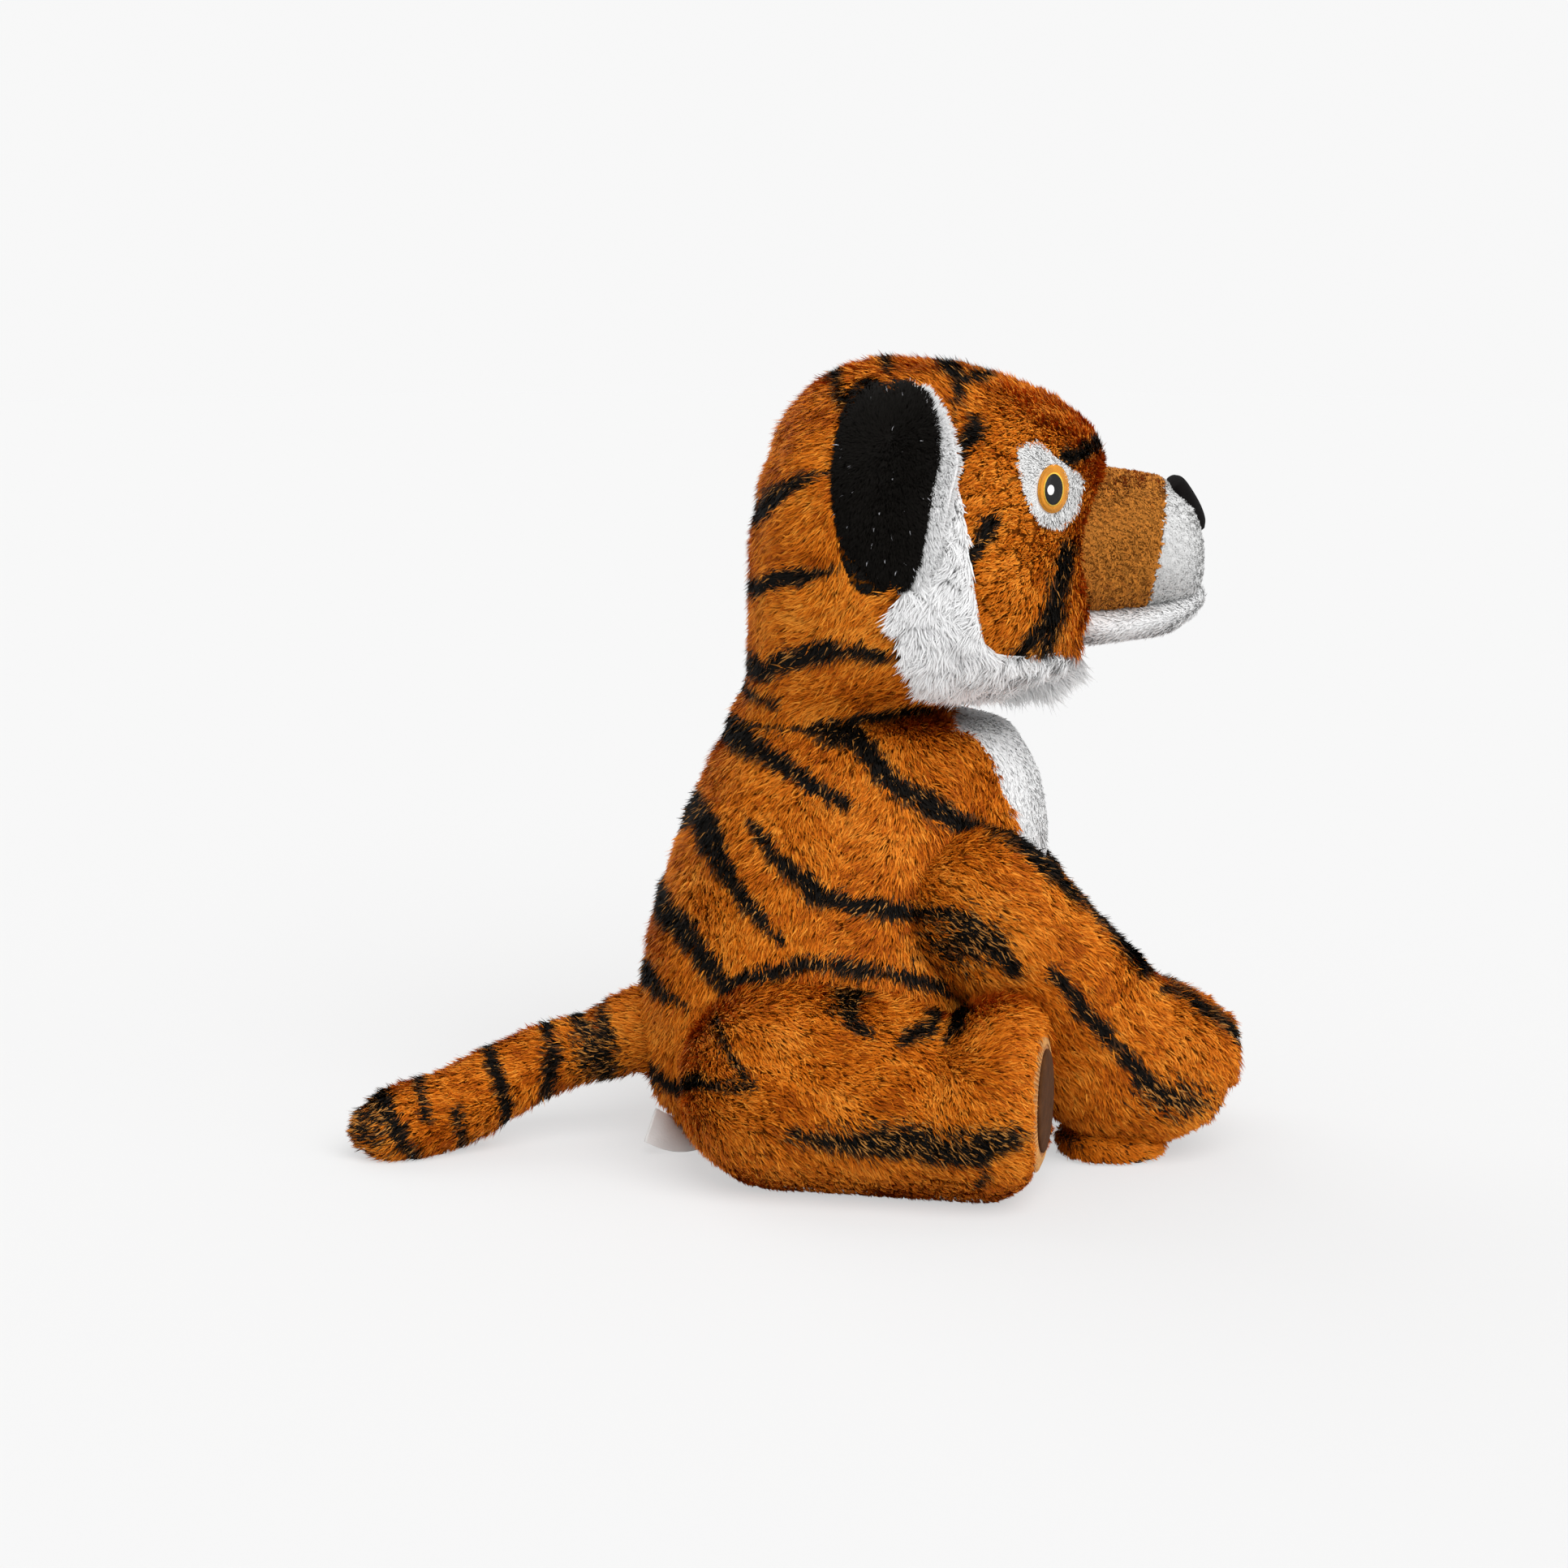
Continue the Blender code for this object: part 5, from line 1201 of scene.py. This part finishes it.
def growHead():
    # pile all over but the patches: short at the eye, and black and very short by the ear
    setup = headSetup
    sown = scatter(headRings(0.0)[0], furSetup["density"], 51, bareOfPatches)
    roots = sown[0]
    tint = coatTint(roots, "head", 52)
    ahead, wide, tall, power = setup["earOval"]
    earX, earZ = (roots[:, 0] - earSetup["x"] - ahead) / wide, (roots[:, 2] - earSetup["z"]) / tall
    byEar = np.abs(earX) ** power + np.abs(earZ) ** power < 1
    tint[byEar] = coatColours["black"]
    flow = unit(roots - setup["sweptFrom"]) + [-0.2, 0, -0.55]
    toEye = np.hypot(roots[:, 0] - eyeSetup["x"], roots[:, 2] - eyeSetup["z"])
    length = setup["pile"] + setup["pileMore"] * ramp(toEye, *setup["nearEye"])
    length = length + setup["pileVary"] * waves(roots, 18.0, 53)
    growParts("headFur", byHand(roots), sown, flow, np.where(byEar, setup["earPile"], length), tint, 54)


def leanSeam(points):
    # slides the places near the muzzle's seam forwards above its middle and back below it
    setup = snoutSetup
    points = points.copy()
    near = np.clip(1 - np.abs(points[..., 0] - setup["seam"]) / setup["slantReach"], 0, 1)
    points[..., 0] += setup["slant"] * (points[..., 2] - setup["z"]) * near
    return points


def buildSnout():
    # one form, cut at its seam into the tan panel and the white front, with short curled pile
    setup = snoutSetup
    rings, pole = snoutRings(setup, 96, 9)
    split = int(np.searchsorted(rings[:, 0, 0], setup["seam"]))
    panel, front = rings[:split + 1].copy(), rings[split:].copy()
    seams = [(setup["seam"] + gap, 0, setup["z"]) for gap in (-setup["gap"], setup["gap"])]
    panel[-1, :, 0], front[0, :, 0] = seams[0][0], seams[1][0]
    makeSkin(
        "muzzleSkin", leanSeam(panel), ("muzzle_panel", "muzzle_stuffing"),
        ((setup["root"], 0, setup["z"]), seams[0]), coat=("tan", 61),
    )
    makeSkin(
        "muzzleFrontSkin", leanSeam(front), ("muzzle_front",), (seams[1], pole), coat=("pearl", 62, 1.0),
    )
    sown = scatter(
        leanSeam(rings), setup["density"], 63,
        lambda p: ~(insideHead(p, 0.3) | insideSnout(p, jawSetup, 0.2)),
    )
    past = sown[0][:, 0] - setup["slant"] * (sown[0][:, 2] - setup["z"]) - setup["seam"]
    for name, part, colour, vary, cloth, length, fur in (
        ("muzzlePile", past < -0.25, "tan", 0.10, "shortPile", 1.6, setup["tanFur"]),
        ("muzzleFrontPile", past > 0.25, "pearl", 0.03, "whitePile", 1.4, setup["whiteFur"]),
    ):
        own = only(part, sown)
        curl = np.stack([waves(own[0], setup["curl"], seed) for seed in (64, 65, 66)], axis=1)
        tint = evenTint(own[0], colour, vary, 67) * (1 + vary * waves(own[0], 3.0, 68))[:, None]
        growFur(name, own, curl + [-0.5, 0, -0.3], length, tint, 69, cloth, **setup["fur"], **fur)


def buildJaw():
    # a flat chin of squared ovals, with white pile combed back
    setup = jawSetup
    rings, pole = snoutRings(setup, 64, 8)
    first = (setup["root"], 0, setup["z"])
    makeSkin("jawSkin", rings, ("lower_jaw",), (first, pole), coat=("white", 71, 0.9))
    sown = scatter(
        rings, setup["density"], 72, lambda p: ~(insideHead(p, 0.3) | insideSnout(p, snoutSetup, -0.3)),
    )
    tint = evenTint(sown[0], "white", 0.02, 73)
    growFur("jawFur", sown, (-1, 0, 0.1), setup["pile"], tint, 74, "whitePile", **setup["fur"])


noseSetup = {
    "x": 101.2, "z": 203.8, "length": 19.5, "half": 12.0, "thick": 3.7, "slope": 60.0, "power": 2.4,
    # shares of the length from the middle down, of the half width and of the thickness
    "rows": [
        (-0.47, 0.55, 0.45), (-0.38, 0.92, 0.85), (-0.15, 1.00, 1.00),
        (0.12, 0.80, 1.00), (0.34, 0.50, 0.80), (0.47, 0.22, 0.40),
    ],
}


def buildNose():
    # rings square to a line down the muzzle's end, wide at the top and narrow at the foot
    setup = noseSetup
    slope = math.radians(setup["slope"])
    down, out = np.array([[math.cos(slope), 0, -math.sin(slope)], [math.sin(slope), 0, math.cos(slope)]])
    middle = np.array([setup["x"], 0, setup["z"]])
    fine = smoothRings(setup["rows"], 7)[:, :, None, None]
    along, across = (share[None, :, None] for share in roundShape(56, setup["power"]))
    rings = (
        middle + down * (setup["length"] * fine[:, 0]) + out * along * (setup["thick"] * fine[:, 2])
        + np.array([0, 1.0, 0]) * across * (setup["half"] * fine[:, 1])
    )
    ends = [middle + down * setup["length"] / 2 * way for way in (-1, 1)]
    makeSkin("noseWedge", rings, ("nose",), ends, "noseVelour")


buildHead()
growHead()
buildSnout()
buildJaw()
buildNose()
print("head made")

# eyes, sewn and stitched onto the side of the head


def patchOnHead(outline, steps, low, high, side, domed=0.0, middle=None):
    # rings that shrink towards the outline's middle, laid on the head's side at a height over it
    middle = outline.mean(axis=0) if middle is None else np.array(middle)
    rings = []
    for share, lift in [(1.0, low)] + [(s, high + domed * (1 - s**2)) for s in np.linspace(1, 0.06, steps)]:
        spot = middle + (outline - middle) * share
        y = headSide(spot[:, 0], spot[:, 1])
        y = y + lift * np.clip(y / 14.0, 0.3, 1.0)
        rings.append(np.stack([spot[:, 0], side * y, spot[:, 1]], axis=1))
    return np.array(rings)


stitchSetup = {
    # name: half width, half height, lift over the head, back from the middle, thread and solid
    "irisRim": (5.0, 7.2, 1.7, 0.0, "amberThread"), "iris": (4.4, 6.5, 2.1, 0.0, "amberThread", "iris_"),
    "pupilRim": (3.2, 5.0, 2.5, 0.0, "yellowThread"), "pupil": (2.85, 4.6, 2.8, 0.0, "blackThread", "pupil_"),
    "glint": (1.1, 1.5, 3.3, 1.0, "whiteThread", "eye_glint_"),
}


def buildEye(side, word):
    # the white patch with its pile, then the stitched discs, each a little further out
    setup = eyeSetup
    middle = [setup["x"], 0, setup["z"]]
    makeSkin(
        "eyePatch" + word, patchOnHead(eyeOutline, 8, -0.5, 1.0, side), ("eye_patch_",),
        coat=("milk", 81, 1.0),
    )
    sown = scatter(
        patchOnHead(eyeOutline, 24, 1.0, 1.0, side)[1:], setup["density"], 82,
        lambda p: (((p - middle)[:, [0, 2]] / setup["bare"]) ** 2).sum(axis=1) > 1, [0, side, 0],
    )
    flow = (sown[0] - middle) * [0.06, 0, 0.05] + [-0.7, 0, -0.35]
    tint = evenTint(sown[0], "milk", 0.03, 83)
    growFur("eyePatchFur" + word, sown, flow, setup["pile"], tint, 84, "whitePile", **setup["fur"])
    for name, (halfWidth, halfHeight, lift, back, cloth, *stands) in stitchSetup.items():
        outline = oval(setup["x"] - back, setup["z"], halfWidth, halfHeight)
        makeSkin(name + word, patchOnHead(outline, 7, 0.6, lift, side, 0.4), stands, cloth=cloth)


def buildRuff(side, word):
    # curls over a thick white backing on the cheek; under the chin they are longer and hang down
    # and forwards
    setup = ruffSetup
    thick, middle = setup["thick"], setup["middle"]
    makeSkin(
        "ruffSkin" + word, patchOnHead(ruffOutline, 10, -0.5, thick, side, middle=middle),
        ("cheek_ruff_",), coat=("white", 91, 0.85),
    )
    sown = scatter(
        patchOnHead(ruffOutline, 40, thick, thick, side, middle=middle)[1:], setup["density"], 92,
        facing=[0, side, 0],
    )
    roots = sown[0]
    chin = ramp(roots[:, 0], *setup["chinAhead"]) * ramp(roots[:, 2], *setup["chinBelow"])
    upper = ramp(roots[:, 2], *setup["upper"])
    flow = np.stack([-0.25 + 0.75 * chin, 0.15 * side * (1 - chin), -1 - 0.3 * chin], axis=1)
    flow = flow + np.stack([waves(roots, 9.0, 96), 0 * chin, 0.6 * waves(roots, 9.0, 97)], axis=1) * 0.55
    length = setup["pile"] + setup["pileChin"] * chin + setup["pileUpper"] * upper
    length = length + setup["pileVary"] * waves(roots, 11.0, 93)
    tint = evenTint(roots, "white", 0.03, 94)
    growFur("ruffFur" + word, sown, flow, length, tint, 95, "whitePile", **setup["fur"])


# ears


def earWays(side):
    # the way out along the ear, and the way back from its lining
    turn = math.radians(earSetup["turn"])
    return np.array([
        [math.sin(turn), side * math.cos(turn), 0], [-math.cos(turn), side * math.sin(turn), 0],
    ])


def earRoot(share, side):
    # the seam on the head, swept forward at its two ends
    x = earSetup["x"] + earSetup["sweep"] * share**2
    z = earSetup["z"] + earSetup["half"] * earSetup["rootShare"] * share
    return np.stack([x, side * (headSide(x, z) - earSetup["embed"]), z], axis=-1)


def earFace(side, margin, low, high, puff):
    # rows from the root to the rim of a squared half oval, cupped forward, lifted by its puff
    setup = earSetup
    out, back = earWays(side)
    angle = np.linspace(-np.pi / 2, np.pi / 2, setup["spokes"])
    tall = np.sign(np.sin(angle)) * np.abs(np.sin(angle)) ** (2 / setup["square"])
    far = setup["reach"] * np.maximum(np.cos(angle), 0.0) ** (2 / setup["square"])
    far = far * (1 - setup["taper"] * np.clip(0.25 - tall, 0, 1))
    share = np.linspace(0, 1, setup["rows"])[:, None]
    margin = margin * np.clip((0.8 - tall) / 0.6, 0.05, 1.0)
    rim = 1 - share**3
    lift = low + (high - low) * (0.5 + 0.5 * rim) + puff * rim * (1 - tall**4)
    place = share * (1 + margin / setup["reach"])
    lift = lift - setup["cup"] * (place * far / setup["reach"]) ** 2
    rise = setup["half"] * (1 - setup["rootShare"]) * tall * place * far / setup["reach"]
    return (
        earRoot(tall, side) + (place * far)[..., None] * out + lift[..., None] * back
        + rise[..., None] * [0, 0, 1.0]
    )


def earSkin(name, near, far, stands, coat):
    # two faces joined round their border
    steps, spokes = near.shape[:2]
    block = steps * spokes
    index = np.arange(block).reshape(steps, spokes)
    squares = np.stack([index[:-1, :-1], index[:-1, 1:], index[1:, 1:], index[1:, :-1]], axis=-1)
    squares = squares.reshape(-1, 4)
    border = np.concatenate([index[:-1, 0], index[-1, :-1], index[:0:-1, -1], index[0, :0:-1]])
    after = np.roll(border, -1)
    wall = np.stack([border, after, after + block, border + block], axis=1)
    points = np.concatenate([near.reshape(-1, 3), far.reshape(-1, 3)])
    faces = facingOut(points, [squares[:, ::-1], squares + block, wall[:, ::-1]])
    makePiece(name, points, faces, "knitBacking", skinTint(points, *coat), stands=stands)


def buildEar(side, word):
    # the black back and the white lining, each from the ear's middle outwards, and their pile
    setup = earSetup
    gap, layer, puff, lining = (setup[name] for name in ("gap", "layer", "puff", "lining"))
    outer = earFace(side, 0.0, gap, layer, puff)
    earSkin("earBack" + word, earFace(side, 0.0, gap, gap, 0.0), outer, ("ear_back_",), ("black", 101, 1.0))
    inner = earFace(side, lining, -gap, -gap, 0.0)
    front = earFace(side, lining, -gap, -layer, -puff)
    earSkin("earLining" + word, inner, front, ("ear_lining_",), ("white", 102, 1.0))
    for name, face, outward, colour, cloth, density, length, seed in (
        ("earBackPile", outer, 1, "black", "plushPile", 9.0, 2.4, 103),
        ("earLiningPile", front, -1, "white", "whitePile", 7.0, 2.2, 104),
        ("earRimPile", inner, 1, "white", "whitePile", 14.0, 3.0, 108),
    ):
        sown = scatter(face, density, seed, wrap=False)
        sown[1] = np.where(((sown[1] @ earWays(side)[1]) * outward < 0)[:, None], -sown[1], sown[1])
        keep = ~insideHead(sown[0], -1.0)
        if name == "earRimPile":
            keep &= sown[2][:, 1] > 0.985 * setup["reach"] / (setup["reach"] + lining)
            keep &= sown[0][:, 2] < setup["z"] + setup["half"] * 0.8
        sown = only(keep, sown)
        tint = evenTint(sown[0], colour, 0.03, seed)
        if colour == "black":
            tint[np.random.default_rng(105).random(len(tint)) < setup["sparkle"]] = setup["sparkleColour"]
        flow = sown[0] - np.array(setup["sweptFrom"]) * [1, side, 1]
        growFur(name + word, sown, flow, length, tint, seed + 2, cloth, **setup["fur"])


for side, word in bothSides:
    buildEye(side, word)
    buildRuff(side, word)
    buildEar(side, word)
print("eyes, ruffs and ears made")

# legs and tail

pawSetup = {
    "x": 79.0, "y": 21.5, "half": 16.5, "wide": 15.0, "power": 2.3,
    # heights, and shares of the halves there
    "rows": [(0.05, 0.68), (0.6, 0.82), (2.0, 0.91), (4.0, 0.95), (6.5, 0.94), (9.0, 0.80)],
    # brown below this height, and above it the leg's own longer pile
    "band": 2.4, "density": 6.0, "pile": 1.8, "legPile": 3.4,
    "fur": {"lean": 50.0, "width": 0.4, "sink": 0.2},
}
soleSetup = {
    "z": 31.0, "wide": 19.3, "tall": 21.3, "thick": 2.2, "patch": 0.74, "stitches": 72, "thread": 0.34,
    # how far out the dome goes over its rim, then the patch: shares of its size and lifts over the dome
    "over": 0.5, "dome": (0.98, 0.94, 0.88, 0.8, 0.6, 0.4, 0.2),
    "patchRows": [(1.0, -0.4), (1.0, 0.15), (0.97, 0.45), (0.9, 0.7), (0.75, 0.95), (0.5, 1.1), (0.25, 1.15)],
}


def buildPawSole(side, word):
    # level ovals from the floor up, rounded under at the bottom
    setup = pawSetup
    middle = np.array([setup["x"], side * setup["y"], 0])
    rings = middle + [
        flatRing(z, setup["half"] * share, setup["half"] * share, setup["wide"] * share, 72, setup["power"])
        for z, share in smoothRings(setup["rows"], 4)
    ]
    poles = (middle, middle + [0, 0, setup["rows"][-1][0]])
    makeSkin("pawSole" + word, rings, ("paw_sole_",), poles, "solePile")
    sown = scatter(rings, setup["density"], 116, lambda p: p[:, 2] > 0.5)
    roots = sown[0]
    high = roots[:, 2] > setup["band"]
    tint = np.where(high[:, None], coatTint(roots, "foreleg", 119, 0.3), evenTint(roots, "brown", 0.25, 117))
    length = np.where(high, setup["legPile"], setup["pile"])
    growFur("pawSolePile" + word, sown, (0.5, 0, -0.35), length, tint, 118, **setup["fur"])


def pressForeleg(rings, side):
    # a place that the leg's lowest swing would push into the hind leg moves to the middle of its ring
    middle = rings.mean(axis=1, keepdims=True)
    lowest = forelegSetup["swings"][0]
    for step in range(40):
        swung = turned(rings.reshape(-1, 3), rootOf(forelegSetup, side), (0, -1, 0), lowest)
        hit = insideHind(swung, side, 1.2).reshape(rings.shape[:2])
        if not hit.any():
            break
        rings = np.where(hit[..., None], rings + (middle - rings) * 0.04, rings)
    return rings


def buildForeleg(side, word):
    # a bent tube of squared ovals down to the toes, and its pile
    setup = forelegSetup
    stations = forelegStations(side)
    skin, fur = (
        pressForeleg(tubeRings(stations, 80, 8, setup["floor"], grow), side) for grow in (skinGrow, 0.0)
    )
    tip = tipOf(skin, setup["tips"][0])
    makeSkin(
        "forelegSkin" + word, closeEnd(skin, tip), ("foreleg_cover_", "foreleg_stuffing_"),
        (stations[0, :3] - stations[0, 3:6] * 0.2, tip), coat=("foreleg", 111),
    )

    def bare(points):
        overSole = (points[:, 0] > pawSetup["x"] - 17) & (points[:, 0] < pawSetup["x"] + 16)
        low = np.where(overSole, setup["overSole"], setup["floor"] + 0.6)
        return ~insideTorso(points) & (points[:, 2] > low)

    sown = scatter(closeEnd(fur, tipOf(fur, setup["tips"][1])), furSetup["density"], 112, bare)
    roots = sown[0]
    # the far leg hangs lower, so its lines are looked up where the near leg has them
    lift = np.zeros_like(roots)
    if side > 0:
        share = np.clip((roots[:, 0] - setup["x"]) / setup["reach"], 0, 1.1)
        lift[:, 2] = (setup["farDrop"] + setup["farLift"]) * np.sin(np.pi * share / setup["farWave"])
    tint = coatTint(roots + lift, "foreleg", 113)
    length = setup["pile"] + setup["pileVary"] * waves(roots, 18.0, 114)
    length = length * np.clip(roots[:, 2] / setup["lowEnd"], setup["lowPile"], 1.0)
    growFur("forelegFur" + word, sown, (0.70, 0.28 * side, -0.60), length, tint, 115)


def onFoot(ahead, across, up, side):
    # a place on the foot's end plane, turned out with the leg
    local = np.stack(np.broadcast_arrays(
        hindSetup["x"] + hindSetup["length"] + ahead, side * hindSetup["y"] + across, up
    ), axis=-1)
    return turned(local, rootOf(hindSetup, side), (0, 0, side), hindSetup["splay"])


def soleRing(share, ahead, side, sides=96):
    # an oval on the foot's end, at a share of the sole's size and so far out
    wide, tall = soleSetup["wide"] * share, soleSetup["tall"] * share
    return onFoot(ahead, *oval(0.0, soleSetup["z"], wide, tall, sides).T, side)


def domeAt(share):
    # how far the sole's dome stands out at a share of its size
    return soleSetup["thick"] * (1 - share**6)


def buildSole(side, word):
    # a low dome of short tan pile, a brown oval set on it, and blanket stitches round the rim
    setup = soleSetup
    rim = [soleRing(share, ahead, side) for share, ahead in ((0.5, -0.4), (0.97, -0.4), (1.0, 0.3))]
    dome = [soleRing(share, domeAt(share) + setup["over"], side) for share in setup["dome"]]
    makeSkin("soleRim" + word, np.array(rim + dome), ("foot_sole_",), cloth="rimPile")
    top = setup["thick"] + setup["over"]
    patch = [soleRing(share * setup["patch"], top + lift, side) for share, lift in setup["patchRows"]]
    makeSkin("solePatch" + word, np.array(patch), ("sole_patch_",), cloth="solePile")
    paths = [
        soleRing(share, domeAt(share) + 0.75, side, setup["stitches"]) for share in np.linspace(0.80, 1.01, 6)
    ]
    makeThreads("soleStitches" + word, np.stack(paths, axis=1), setup["thread"], "tanThread")
    edge = soleRing(1.01, 0.7, side, 144)
    makeThreads("soleEdge" + word, np.concatenate([edge, edge[:1]])[None], setup["thread"] * 1.2, "tanThread")


def buildHind(side, word):
    # the thick leg with its flat foot, and its pile in an upper and a lower piece
    setup = hindSetup
    skin, fur = (hindRings(side, grow) for grow in (skinGrow, 0.0))
    tip = tipOf(skin, setup["tips"][0])
    makeSkin(
        "hindSkin" + word, closeEnd(skin, tip), ("hind_leg_cover_", "hind_leg_stuffing_"),
        (skin[0].mean(axis=0), tip), coat=("hind", 121),
    )
    sown = scatter(closeEnd(fur, tipOf(fur, setup["tips"][1])), furSetup["density"], 122)
    local = turned(sown[0], rootOf(setup, side), (0, 0, side), -setup["splay"])
    along = local[:, 0] - setup["x"]
    across = (np.abs(local[:, 1]) - setup["y"]) / soleSetup["wide"]
    onSole = np.hypot(across, (local[:, 2] - soleSetup["z"]) / soleSetup["tall"]) < 1.0
    bare = insideTorso(sown[0]) | (sown[0][:, 2] <= 0.9) | (onSole & (along > setup["length"] - 1.6))
    *sown, along = only(~bare, [*sown, along])
    roots = sown[0]
    # shorter near the floor and at the foot's end
    length = setup["pile"] + setup["pileVary"] * waves(roots, 18.0, 124)
    length = length * np.clip(roots[:, 2] / setup["lowEnd"], setup["lowPile"], 1.0)
    toEnd = ramp(along, setup["length"], -setup["footFade"])
    length = length * (setup["footPile"] + (1 - setup["footPile"]) * toEnd)
    high = roots[:, 2] >= 30
    growParts(
        "hindFur", (("Upper" + word, high), ("Lower" + word, ~high)), sown, (0.75, 0.40 * side, -0.42),
        length, coatTint(roots, "hind", 123), 125,
    )


def buildTail():
    # a bent tube of squared ovals, and its pile
    setup = tailSetup
    stations = tailStations()
    skin, fur = (tubeRings(stations, 64, 5, 0.0, grow) for grow in (skinGrow, 0.0))
    tip = tipOf(skin, setup["tips"][0])
    makeSkin(
        "tailSkin", closeEnd(skin, tip), ("tail_cover", "tail_stuffing"),
        (stations[0, :3] - stations[0, 3:6], tip), coat=("tail", 131),
    )
    sown = scatter(
        closeEnd(fur, tipOf(fur, setup["tips"][1])), setup["density"], 132,
        lambda p: ~insideTorso(p) & (p[:, 2] > 0.5),
    )
    growFur("tailFur", sown, (-1, -0.2, -0.15), setup["pile"], coatTint(sown[0], "tail", 133), 134)


for side, word in bothSides:
    buildForeleg(side, word)
    buildPawSole(side, word)
    buildHind(side, word)
    buildSole(side, word)
buildTail()
print("legs and tail made")

# a satin ribbon from the seam under the rump, twisted half way over at its free end

labelSetup = {
    "half": 5.8, "thick": 0.22, "power": 7.0,
    # middle, then the way across, from the seam to the free end
    "path": [
        (-45.0, -12.0, 3.2, 0.00, 1.00, 0.00), (-51.0, -14.5, 3.2, 0.12, 0.95, 0.16),
        (-57.0, -18.0, 4.6, 0.34, 0.80, 0.42), (-62.0, -21.0, 6.8, 0.46, 0.66, 0.54),
        (-66.5, -23.0, 9.6, 0.52, 0.58, 0.60),
    ],
}


def buildLabel():
    # flat ovals, nearly oblong, square to the ribbon's path
    setup = labelSetup
    fine = smoothRings(setup["path"], 8)
    way = unit(np.gradient(fine[:, :3], axis=0))
    across = unit(fine[:, 3:] - (fine[:, 3:] * way).sum(axis=1, keepdims=True) * way)
    up = np.cross(way, across)
    along, high = roundShape(32, setup["power"])
    rings = (
        fine[:, None, :3] + across[:, None] * along[None, :, None] * setup["half"]
        + up[:, None] * high[None, :, None] * setup["thick"]
    )
    makeSkin("careLabel", rings, ("care_label",), poles=(fine[0, :3], fine[-1, :3]), cloth="labelSatin")


buildLabel()
print("label made")
